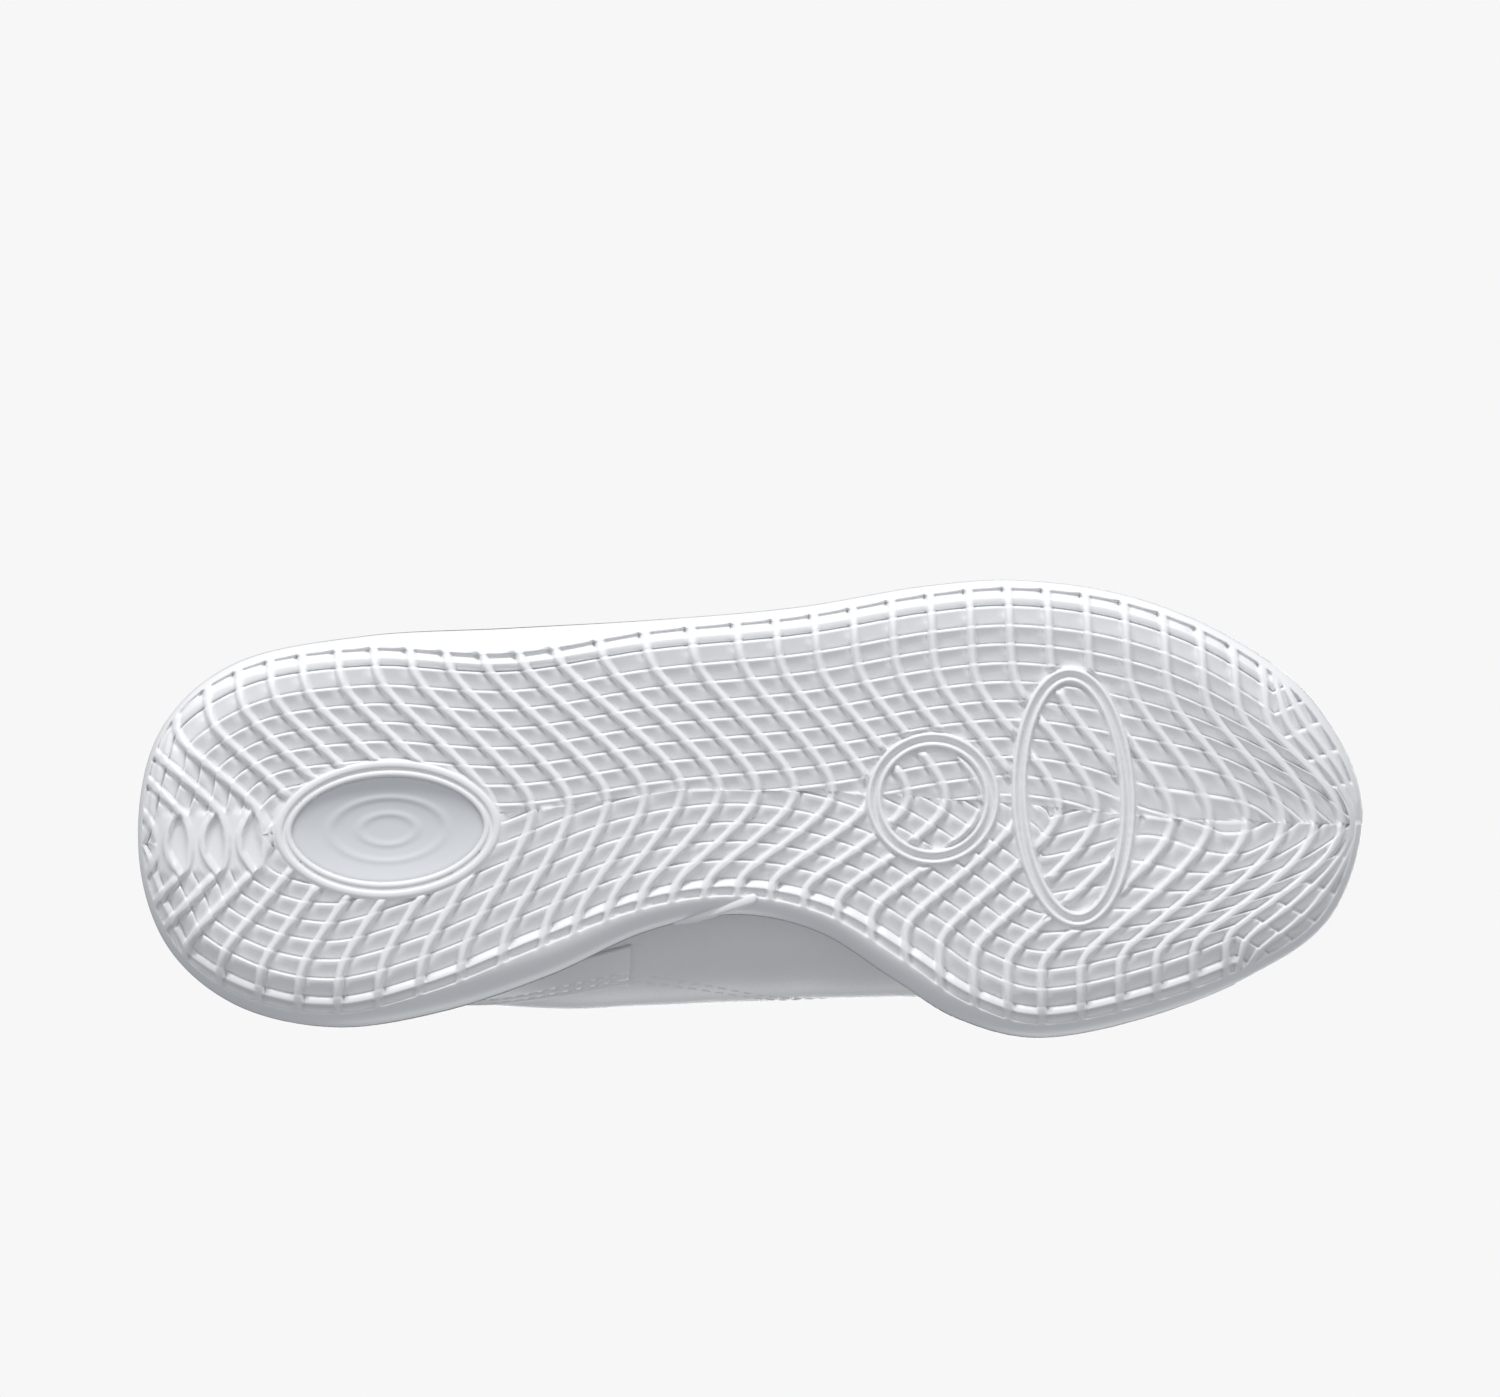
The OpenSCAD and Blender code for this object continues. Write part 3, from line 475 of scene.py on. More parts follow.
# upright lens-shaped cells on the centre line behind the window
hx, hy = flat[:, 0], flat[:, 1] - 0.4
zone = smooth((-105.5 - hx) / 2.0) * smooth((8.2 - np.abs(hy)) / 2.4) * smooth((hx + 132.5) / 2.0)
cell = np.full(len(flat), 9.0)
tall = 7.4
for xc in (-126.4, -118.2, -110.0):
    cell = np.minimum(cell, np.abs(hx - xc - 0.9 * (hy / tall) ** 2) - 2.7 * (1 - (hy / tall) ** 2))
inner = 1.45 * smooth((-cell - 0.45) / 0.5)
outer = 0.75 * smooth((cell - 0.55) / 0.5)
deep = deep * (1 - zone) + (inner + outer) * zone * mask
# the circle, oval and window areas are cleared below their raised outlines
def ellipse(cx, cy, rx, ry, n=72):
    ang = around(n)
    return np.column_stack([cx + rx * np.cos(ang), cy + ry * np.sin(ang)])


ball_circle = ellipse(40.5, -3.0, 13.0, 13.0)
ball_oval = ellipse(71.5, -2.0, 12.0, 27.0)


def poly_distance(points, poly):
    a = poly
    b = np.roll(poly, -1, 0)
    best = np.full(len(points), 1e9)
    for p, q in zip(a, b):
        d = q - p
        t = np.clip(((points - p) @ d) / (d @ d), 0, 1)
        best = np.minimum(best, np.linalg.norm(points - p - t[:, None] * d, axis=1))
    return best


near_shape = np.minimum(poly_distance(flat, ball_circle), poly_distance(flat, ball_oval))
band = 1 - smooth((near_shape - 1.9) / 0.7)
deep = deep * (1 - band) + 1.35 * band
win = np.array([-80.0, -1.0])
radial = np.sqrt(((flat[:, 0] - win[0]) / 24.2) ** 2 + ((flat[:, 1] - win[1]) / 14.6) ** 2)
collar_band = 1 - smooth((radial - 1.04) / 0.035)
deep = deep * (1 - collar_band) + 0.5 * collar_band
z = height + deep
verts = np.column_stack([flat, z])
faces = grid_faces(rows, cols, flip=False)
cx = (flat[:, 0] - win[0]) / 22.6
cy = (flat[:, 1] - win[1]) / 13.0
hidden = (cx ** 2 + cy ** 2) < 1
faces = [f for f in faces if not all(hidden[i] for i in f)]
outsole = mesh_object("outsole_tread", verts, faces, rubber)
weld(outsole, 2e-6)
put(outsole, "outsole")
print("TREAD faces", len(outsole.data.polygons), "z", z.min(), z.max())

# smooth wall from the widest line up to the rim and down inside
wall_profile = []
for t in np.linspace(0.93, 1, 6):
    d = ring[:, 2] * (1 - np.sin(t * math.pi / 2))
    h = 0.45 * ring[:, 3] * (1 - np.cos(t * math.pi / 2))
    p = ring_xy + ring_in * d[:, None]
    wall_profile.append(np.column_stack([p, h + spring(p[:, 0]) * (1 - 0.6 * t) + 0.02]))
low = wall_profile[-1]
for s in np.linspace(0.12, 1, 8):
    inset = LEAN * s ** 1.6
    p = ring_xy + ring_in * inset
    top = ring[:, 3] - 0.9
    wall_profile.append(np.column_stack([p, low[:, 2] * (1 - s) + top * s]))
for a in np.linspace(0.2, 1, 5) * math.pi:
    inset = LEAN + WALL / 2 - WALL / 2 * math.cos(a)
    p = ring_xy + ring_in * inset
    wall_profile.append(np.column_stack([p, ring[:, 3] - 0.9 + 0.9 * math.sin(a)]))
for more, drop in ((0.3, 0.12), (0.7, 0.45), (2.2, 0.6), (3.6, 0.6), (4.6, 1.6)):
    p = ring_xy + ring_in * (LEAN + WALL + more)
    wall_profile.append(np.column_stack([p, ring[:, 3] - drop]))
wall = mesh_object("outsole_wall", np.concatenate(wall_profile),
                   grid_faces(len(wall_profile), RING_N, wrap=True, flip=True), rubber)
put(wall, "outsole")


def raised_outline(poly, name, cell=0.3):
    """Two lips with a groove between them, moulded along a closed outline."""
    low, high = poly.min(0) - 6, poly.max(0) + 6
    gx, gy = np.arange(low[0], high[0], cell), np.arange(low[1], high[1], cell)
    a, b = np.meshgrid(gx, gy, indexing="ij")
    pts = np.column_stack([a.reshape(-1), b.reshape(-1)])
    n = len(poly)
    best = np.full(len(pts), 1e9)
    mitre = np.full(len(pts), 1e9)
    for i in range(n):
        p, q, before, after = poly[i], poly[(i + 1) % n], poly[i - 1], poly[(i + 2) % n]
        d = unit(q - p)
        out = np.array([d[1], -d[0]])
        t = (pts - p) @ d / np.linalg.norm(q - p)
        far = np.linalg.norm(pts - p - np.clip(t, 0, 1)[:, None] * (q - p), axis=1)
        own = np.abs((pts - p) @ out)
        for u1, at, past in ((unit(p - before), p, t < 0), (unit(after - q), q, t > 1)):
            o1 = np.array([u1[1], -u1[0]])
            own = np.where(past, np.maximum(np.abs((pts - at) @ out), np.abs((pts - at) @ o1)), own)
        closer = far < best - 1e-9
        mitre = np.where(closer, own, mitre)
        best = np.minimum(best, far)
    reach = np.where(best > 5.2, 9.0, mitre)
    depth = np.interp(reach, [0, 0.42, 0.62, 0.85, 1.25, 1.5, 1.75, 2.1],
                      [1.15, 1.1, 0.35, 0.0, 0.0, 0.2, 1.35, 1.75])
    keep = (reach < 2.1).reshape(a.shape)
    f = np.array(grid_faces(len(gx), len(gy)))
    f = f[keep.reshape(-1)[f].all(1)]
    used = np.unique(f)
    index = np.zeros(len(pts), int)
    index[used] = np.arange(len(used))
    z = spring(pts[:, 0]) + depth
    return mesh_object(name, np.column_stack([pts, z])[used], index[f], rubber)


for name, poly in (("outsole_ball_circle", ball_circle), ("outsole_ball_oval", ball_oval)):
    o = raised_outline(poly, name)
    put(o, "outsole")

# slim bar with a rounded end on the arch side wall
BAR_RINGS, BAR_SIDES = 24, 12
bar_t = np.linspace(0, 1, BAR_RINGS)
c = np.column_stack([-18 + 19 * bar_t, 22.4 - 5.2 * bar_t, 5.6 + 0.3 * bar_t])
verts = []
for t, q in zip(bar_t, c):
    d, value = nearest(q[None, :2], medial)
    r = 1.15 * math.sqrt(max(0.02, 1 - max(0, (t - 0.93) / 0.07) ** 2)) * min(1, t * 3 + 0.25)
    ang = around(BAR_SIDES)
    zz = base_height(d, value)[0][0]
    verts.append(np.column_stack([np.full(BAR_SIDES, q[0]), q[1] + r * 1.1 * np.cos(ang),
                                  zz + 0.5 * r * np.sin(ang)]))
o = mesh_object("outsole_arch_bar", np.vstack(verts), tube_faces(BAR_RINGS, BAR_SIDES), rubber)
weld(o)
put(o, "outsole")

# ---------------------------------------------------------------- heel window
lens_m = mottled("window_plastic", (0.64, 0.66, 0.69), 0.16,
                 ((0.63, 0.65, 0.68), (0.65, 0.67, 0.70)), 30, (900, 0.05, 0.0001),
                 Coat_Weight=0.6, Coat_Roughness=0.08)


OVAL_POINT = 1.08    # above 1 the ends of the ovals come to slight points


def oval(profile, name, material, n=144, close_centre=False):
    """Loft of ovals with slightly pointed ends: (half length, half width, z) per ring."""
    c, s = np.cos(around(n)), np.sin(around(n))
    verts = []
    for a, b, zz in profile:
        verts.append(np.column_stack([win[0] + a * c, win[1] + b * np.sign(s) * np.abs(s) ** OVAL_POINT,
                                      np.full(n, zz)]))
    v = np.concatenate(verts)
    f = grid_faces(len(profile), n, wrap=True)
    if close_centre:
        v = np.vstack([v, [[win[0], win[1], profile[-1][2]]]])
        base = (len(profile) - 1) * n
        f += [[base + i, base + (i + 1) % n, len(v) - 1] for i in range(n)]
    o = mesh_object(name, v, f, material)
    weld(o)
    return o


ring_prof = [(d + 21.0, d + 11.4, h) for d, h in (
    (4.3, 1.6), (4.1, 0.6), (3.7, 0.12), (3.2, 0.0), (2.7, 0.0), (2.3, 0.15), (2.1, 0.55), (1.95, 1.0),
    (1.8, 1.02), (1.65, 0.6), (1.45, 0.3), (1.1, 0.2), (0.7, 0.2), (0.4, 0.4), (0.2, 0.9), (0.0, 2.6))]
bezel = oval(ring_prof, "heel_window_bezel_piece", rubber)
put(bezel, "heel_window_bezel")
lens_prof = [(21.2, 11.6, 1.5), (20.9, 11.3, 1.35)]
for r in np.linspace(0.95, 0.04, 26):
    relief = 0.28 * math.exp(-((r - 0.62) / 0.05) ** 2) + 0.28 * math.exp(-((r - 0.30) / 0.05) ** 2)
    lens_prof.append((20.9 * r, 11.3 * r, 1.3 + 2.1 * (1 - r ** 2.2) - relief))
lens = oval(lens_prof, "heel_window_lens_piece", lens_m, close_centre=True)
put(lens, "heel_window_lens")

# ---------------------------------------------------------------- materials of the upper
def leather(name, color, rough, grain, depth):
    m = principled(name, color, rough, Coat_Weight=0.12, Coat_Roughness=0.3)
    dark = tuple(c * 0.975 for c in color)
    add_tint(m, dark, color, 40)
    add_bump(m, grain, 0.35, depth, kind="VORONOI", stretch=(1, 1.25, 1))
    add_bump(m, 260, 0.10, depth * 2)
    return m


def cloth(name, color, rough, threads, depth):
    """Knit: two crossed waves of threads under the bump."""
    m = principled(name, color, rough, Sheen_Weight=0.25)
    add_tint(m, tuple(c * 0.94 for c in color), color, 90)
    tree = m.node_tree
    shader = tree.nodes["Principled BSDF"]
    where = add_node(tree, "TexCoord")
    both = add_node(tree, "Math")
    both.operation = "MULTIPLY"
    for i, axis in enumerate(("X", "Z")):
        wave = add_node(tree, "TexWave", Scale=threads, Distortion=1.4, Detail=1.0, Detail_Scale=2.0)
        wave.bands_direction = axis
        tree.links.new(where.outputs["Object"], wave.inputs["Vector"])
        tree.links.new(wave.outputs["Fac"], both.inputs[i])
    bump = add_node(tree, "Bump", Strength=0.55, Distance=depth)
    tree.links.new(both.outputs["Value"], bump.inputs["Height"])
    tree.links.new(bump.outputs["Normal"], shader.inputs["Normal"])
    return m


upper_m = leather("white_leather", (0.80, 0.80, 0.795), 0.46, 1500, 0.00012)
overlay_m = leather("white_overlay", (0.82, 0.82, 0.815), 0.38, 1900, 0.00008)
binding_m = leather("white_binding", (0.81, 0.81, 0.805), 0.42, 1700, 0.00010)
thread_m = mottled("white_thread", (0.83, 0.83, 0.82), 0.62,
                   ((0.78, 0.78, 0.77), (0.84, 0.84, 0.83)), 800, (4000, 0.4, 0.0001), Sheen_Weight=0.2)
lining_m = cloth("lining_mesh", (0.70, 0.705, 0.71), 0.85, 520, 0.00025)
sock_m = cloth("footbed_cloth", (0.66, 0.665, 0.675), 0.88, 420, 0.0003)
lace_m = cloth("lace_weave", (0.84, 0.84, 0.83), 0.80, 700, 0.0002)
metal_m = mottled("eyelet_enamel", (0.78, 0.785, 0.79), 0.30,
                  ((0.74, 0.745, 0.75), (0.79, 0.795, 0.80)), 200, (1200, 0.08, 0.0001), Metallic=0.65)
badge_m = mottled("badge_rubber", (0.77, 0.775, 0.78), 0.35,
                  ((0.75, 0.755, 0.76), (0.78, 0.785, 0.79)), 120, (1400, 0.10, 0.0001))
aglet_m = mottled("aglet_plastic", (0.82, 0.825, 0.83), 0.22,
                  ((0.80, 0.805, 0.81), (0.83, 0.835, 0.84)), 150, (900, 0.05, 0.0001), Coat_Weight=0.4)
# painted shade: near-black colour for the discs that stand in for the dark inside of the vamp's perforations
hole_shade_m = mottled("hole_shadow", (0.16, 0.165, 0.17), 0.9,
                 ((0.14, 0.145, 0.15), (0.18, 0.185, 0.19)), 500, (3000, 0.3, 0.0002))
board_m = mottled("pressed_board", (0.55, 0.45, 0.32), 0.9,
                  ((0.50, 0.41, 0.29), (0.58, 0.48, 0.35)), 120, (1500, 0.4, 0.0003))
foam_m = mottled("sole_foam", (0.78, 0.78, 0.77), 0.8,
                 ((0.74, 0.74, 0.73), (0.80, 0.80, 0.79)), 90, (1100, 0.4, 0.0004, "VORONOI"))
stiff_m = mottled("stiff_fibre", (0.58, 0.58, 0.57), 0.85,
                  ((0.54, 0.54, 0.53), (0.62, 0.62, 0.61)), 150, (1300, 0.4, 0.0003))

# ---------------------------------------------------------------- surface of the upper
UPPER = np.array([
    [[-128, 0, 16.6], [-136.5, 0, 42], [-121, 0, 62], [-125, 0, 91]],
    [[-120, -24, 16.6], [-128, -28, 42], [-113, -24, 62], [-115, -17, 88]],
    [[-100, -34, 16.5], [-102, -41, 40], [-97, -34, 58], [-98, -27, 78]],
    [[-72, -36.5, 16.2], [-72, -43, 38], [-74, -38, 52], [-74, -32, 67]],
    [[-44, -36.8, 15.7], [-43, -43.5, 38], [-47, -40, 54], [-50, -31, 67]],
    [[-16, -37.4, 15], [-14, -44.5, 40], [-24, -38, 66], [-30, -23, 82]],
    [[10, -38.8, 14], [11, -45.5, 42], [-2, -34, 78], [-13, -15, 93]],
    [[34, -42.3, 12.6], [35, -48, 38], [20, -31, 70], [8, -12, 81]],
    [[56, -44, 11.8], [58, -48.5, 32], [42, -31, 60], [28, -10.5, 70]],
    [[80, -41.2, 12], [82.5, -44.7, 30], [62, -28, 53], [45, -8.5, 61]],
    [[101, -33.5, 12.8], [104.5, -37, 32], [78, -21, 51], [51, -6.5, 57.5]],
    [[120.5, -19.5, 14.4], [126, -20.5, 36], [92, -11, 50], [54, -3.3, 55.8]],
    [[130.5, 2, 15.4], [136.5, 2, 38], [98, 1, 50], [55, 0, 55.5]],
    [[123, 23.5, 14.4], [128, 25.5, 36], [92, 12, 50], [54, 3.3, 55.8]],
    [[104, 35.5, 12.8], [107.5, 39, 32], [80, 23, 51], [51, 6.5, 57.5]],
    [[82, 41.5, 12], [85, 44.5, 30], [64, 30, 54], [45, 8.5, 61]],
    [[59, 43, 11.8], [61, 48, 32], [44, 33, 61], [28, 10.5, 70]],
    [[36, 31, 12.4], [38, 55, 27], [22, 34, 71], [8, 12, 81]],
    [[13, 16.5, 14.2], [12, 61, 25], [-1, 37, 77], [-13, 15, 93]],
    [[-13, 12.5, 15.4], [-14, 60, 26], [-24, 39, 66], [-30, 23, 82]],
    [[-42, 22, 16], [-43, 52.5, 31], [-47, 40, 54], [-50, 31, 67]],
    [[-72, 31.5, 16.3], [-72, 42.5, 37], [-74, 38, 52], [-74, 32, 67]],
    [[-100, 33.5, 16.5], [-102, 40.5, 40], [-97, 34, 58], [-98, 27, 78]],
    [[-120, 24, 16.6], [-128, 27.5, 42], [-113, 24, 62], [-115, 17, 88]]
], float)
STATIONS = len(UPPER)
GAP, LEATHER, LINING = 0.25, 1.2, 0.8
UNDER = LEATHER + GAP
LINING_TOP = UNDER + 1 + GAP
HAIR = 0.004
THROAT_TOP = 5.75


def upper_at(u, v):
    u, v = np.broadcast_arrays(np.asarray(u, float), np.asarray(v, float))
    p = closed_curve(UPPER, u)
    v = v[..., None]
    w = 1 - v
    low, high = p[..., 0, :] * w ** 3, p[..., 3, :] * v ** 3
    return low + 3 * p[..., 1, :] * v * w * w + 3 * p[..., 2, :] * v * v * w + high


def along(u, v):
    return unit(upper_at(u + HAIR, v) - upper_at(u - HAIR, v))


def upward(u, v):
    return unit(upper_at(u, v + HAIR) - upper_at(u, v - HAIR))


def outward(u, v):
    return unit(np.cross(along(u, v), upward(u, v)))


def ripple(p):
    """Slight unevenness of hand-lasted leather, in millimetres."""
    x, y, z = p[..., 0], p[..., 1], p[..., 2]
    return (0.10 * np.sin(0.11 * x + 0.07 * z + 1.3) + 0.07 * np.sin(0.19 * y - 0.16 * z + 0.5 + 0.05 * x)
            + 0.05 * np.sin(0.31 * x + 0.23 * y + 0.9))


def at_depth(u, v, d):
    p = upper_at(u, v)
    return p - outward(u, v) * (np.asarray(d, float) + ripple(p))[..., None]


def station(i):
    return np.asarray(i, float) / STATIONS


def seam(t):
    return 7.6 + 2.2 * t


def mix(a, b, t):
    return a * (1 - t) + b * t


TIGHT = (0.12, 0.3, 0.55, 0.9, 1.3, 1.7, 2.1, 2.6, 3.1, 3.6, 4.1, 4.7)


def spaced(n, length):
    """From 0 to 1 in even steps, with close ones by both ends for a rolled edge."""
    near = np.array(TIGHT) / length
    t = np.linspace(0, 1, n)
    t = t[(t > near[-1] * 1.15) & (t < 1 - near[-1] * 1.15)]
    return np.concatenate([[0], near, t, 1 - near[::-1], [1]])


def rolled(d, r):
    d = np.clip(d, 0, r)
    return r - np.sqrt(np.maximum(r * r - (r - d) ** 2, 0))


class Shell:
    """Sheet over a grid of places, closed and with rolled edges; keeps its grid for stitch rows."""

    def __init__(self, name, a, b, top, thick, material, at=at_depth, roll=0.5, rows=(), holes=(),
                 flip=False):
        self.a, self.b, self.at = a, b, at
        self.top = np.broadcast_to(np.asarray(top, float), a.shape)
        p = at(a, b, self.top)
        li = np.linalg.norm(np.diff(p, axis=0), axis=2)
        lj = np.linalg.norm(np.diff(p, axis=1), axis=2)
        self.si = np.vstack([np.zeros((1, a.shape[1])), np.cumsum(li, 0)])
        self.sj = np.hstack([np.zeros((a.shape[0], 1)), np.cumsum(lj, 1)])
        di = np.minimum(self.si, self.si[-1:] - self.si)
        dj = np.minimum(self.sj, self.sj[:, -1:] - self.sj)
        d = np.minimum(di, dj)
        drop = rolled(d, roll)
        for edge, where in rows:
            e = self.edge_distance(edge)
            drop = drop + 0.16 * np.exp(-((e - where) / 0.42) ** 2)
        outer = at(a, b, self.top + drop)
        inner = at(a, b, self.top + thick)
        n, m = a.shape
        keep_o = np.ones((n - 1, m - 1), bool)
        for c, r in holes:
            far = np.linalg.norm(outer - c, axis=2) > r
            keep_o &= far[:-1, :-1] & far[1:, :-1] & far[1:, 1:] & far[:-1, 1:]
        keep = keep_o.reshape(-1)
        top_f = np.array(grid_faces(n, m, flip=not flip))[keep]
        low_f = np.array(grid_faces(n, m, offset=n * m, flip=flip))[keep]
        rim = rim_faces(n, m)
        if flip:
            rim = rim[:, ::-1]
        self.obj = mesh_object(name, np.vstack([outer.reshape(-1, 3), inner.reshape(-1, 3)]),
                               np.vstack([top_f, low_f, rim]), material)

    def edge_distance(self, edge):
        from_start = self.si if edge[0] == "a" else self.sj
        whole = from_start[-1:] if edge[0] == "a" else from_start[:, -1:]
        return from_start if edge[1] == "0" else whole - from_start

    def line(self, edge, where, trim=0.0):
        """Places along one edge, a distance in from it, with the ends trimmed."""
        e = self.edge_distance(edge)
        axis = 0 if edge[0] == "a" else 1
        e, ga, gb, gt = (np.moveaxis(x, axis, 0) for x in (e, self.a, self.b, self.top))
        if edge[1] == "1":
            e, ga, gb, gt = e[::-1], ga[::-1], gb[::-1], gt[::-1]
        out = []
        for k in range(e.shape[1]):
            out.append([np.interp(where, e[:, k], g[:, k]) for g in (ga, gb, gt)])
        out = np.array(out)
        if trim:
            p = self.at(out[:, 0], out[:, 1], out[:, 2])
            s = run_length(p)
            ok = np.linspace(trim, s[-1] - trim, len(s))
            out = np.column_stack([np.interp(ok, s, out[:, c]) for c in range(3)])
        return out


def stitch_geometry(lines, at, length=2.1, space=1.0, width=0.62, high=0.30):
    """Rows of raised stitches along lines of places (a, b, depth)."""
    verts, faces = [], []
    along_s = np.array([-1, -0.82, 0, 0.82, 1])
    fat = np.array([0.25, 0.8, 1, 0.8, 0.25])
    rings, sides = len(fat), 8
    ang = around(sides)
    for ln in lines:
        p = at(ln[:, 0], ln[:, 1], ln[:, 2])
        q = at(ln[:, 0], ln[:, 1], ln[:, 2] - 1.0)
        n = unit(q - p)
        s = run_length(p)
        total = s[-1]
        k = max(1, int(total / (length + space)))
        pitch = total / k
        for c in (np.arange(k) + 0.5) * pitch:
            ends = [np.array([np.interp(c + f * length / 2, s, p[:, x]) for x in range(3)]) for f in (-1, 1)]
            mid = np.array([np.interp(c, s, p[:, x]) for x in range(3)])
            nn = unit(np.array([np.interp(c, s, n[:, x]) for x in range(3)]))
            t = unit(ends[1] - ends[0])
            side = np.cross(nn, t)
            base = mid - nn * 0.10
            ring_p = (base + t[None, None] * (along_s * length / 2)[:, None, None]
                      + side * (np.cos(ang)[None, :, None] * fat[:, None, None] * width / 2)
                      + nn * (np.sin(ang)[None, :, None] * fat[:, None, None] * high))
            faces += tube_faces(rings, sides, offset=len(verts) * rings * sides)
            verts.append(ring_p.reshape(-1, 3))
    return np.vstack(verts), faces


def stitches(name, node, lines, at=at_depth, body="shoe"):
    v, f = stitch_geometry(lines, at)
    return put(mesh_object(name, v, f, thread_m), node, body)


def grid(a, b):
    return np.meshgrid(a, b, indexing="ij")


def ring_at(centre, x, y, r, n):
    """Circle of n points round a centre, in the plane of x and y."""
    a = around(n)
    return centre + r * (np.cos(a)[:, None] * x + np.sin(a)[:, None] * y)


# ---- eyelets: their places and holes ----
EYELETS = 6
EYELET_SIDES = 40


def eyelet_station(k):
    return 9.0 + (6.2 - 9.0) * (np.asarray(k, float) / (EYELETS - 1)) ** 0.84


def side_u(side, i):
    return station(i) if side < 0 else station(STATIONS - np.asarray(i, float))


def eyelet_v(side, k):
    u = side_u(side, eyelet_station(k))
    return 1 - 0.1 * 7.5 / np.linalg.norm(upper_at(u, 1) - upper_at(u, 0.9), axis=-1)


def eyelet_at(side, k, d):
    u, v = side_u(side, eyelet_station(k)), eyelet_v(side, k)
    return upper_at(u, v) - outward(u, v) * d


HOLES = {side: [(eyelet_at(side, k, -0.6), 2.9) for k in range(EYELETS)] for side in (-1, 1)}

# ---- vamp and toe ----
S, T = grid(spaced(190, 190), spaced(64, 70))
U = station(mix(seam(T) - 0.25, STATIONS - seam(T) + 0.25, S))
vamp = Shell("vamp_piece", U, T, 0.0, LEATHER, upper_m)
put(vamp.obj, "vamp")
stitches("vamp_throat_stitching", "vamp", [vamp.line("b1", 1.8, 1.0)[60:-60]])


def cap_edge(u):
    k = (u * STATIONS - 12) / 2.9
    return 0.50 - 0.27 * k * k


S, T = grid(spaced(170, 200), spaced(34, 30))
U = station(mix(9.25, 14.75, S))
V = 0.10 + (cap_edge(U) - 0.10) * T
cap = Shell("toe_cap_piece", U, V, -UNDER, UNDER, overlay_m, rows=(("b1", 1.7), ("b1", 3.6)))
put(cap.obj, "toe_cap")
stitches("toe_cap_stitching", "toe_cap", [cap.line("b1", 1.7, 1.5), cap.line("b1", 3.6, 1.5)])

# perforations in the vamp, in rows that follow the toe cap; each is a slightly raised dark disc of painted
# shade, not an opening
HOLE_RINGS = ((0.95, 0.0), (0.85, 0.07), (0.72, 0.05), (0.66, 0.02))    # radius, height
HOLE_SIDES = 14
verts, faces = [], []
for row in range(5):
    for j in range(-(5 - row // 2), 6 - row // 2):
        u = station(12 + (j + (0.5 if row % 2 else 0)) * 0.30 * (1 + 0.05 * row))
        v = cap_edge(u) + 0.085 + row * 0.062
        if v > 0.90:
            continue
        p = at_depth(u, v, 0.0)
        n = outward(u, v)
        x = along(u, v)
        y = np.cross(n, x)
        base = len(verts) * HOLE_SIDES
        verts += [ring_at(p + n * h, x, y, r, HOLE_SIDES) for r, h in HOLE_RINGS]
        faces += grid_faces(len(HOLE_RINGS), HOLE_SIDES, offset=base, wrap=True, flip=True)
        faces.append((base + (len(HOLE_RINGS) - 1) * HOLE_SIDES + np.arange(HOLE_SIDES)).tolist())
put(mesh_object("vamp_perforations", np.vstack(verts), faces, hole_shade_m), "vamp")

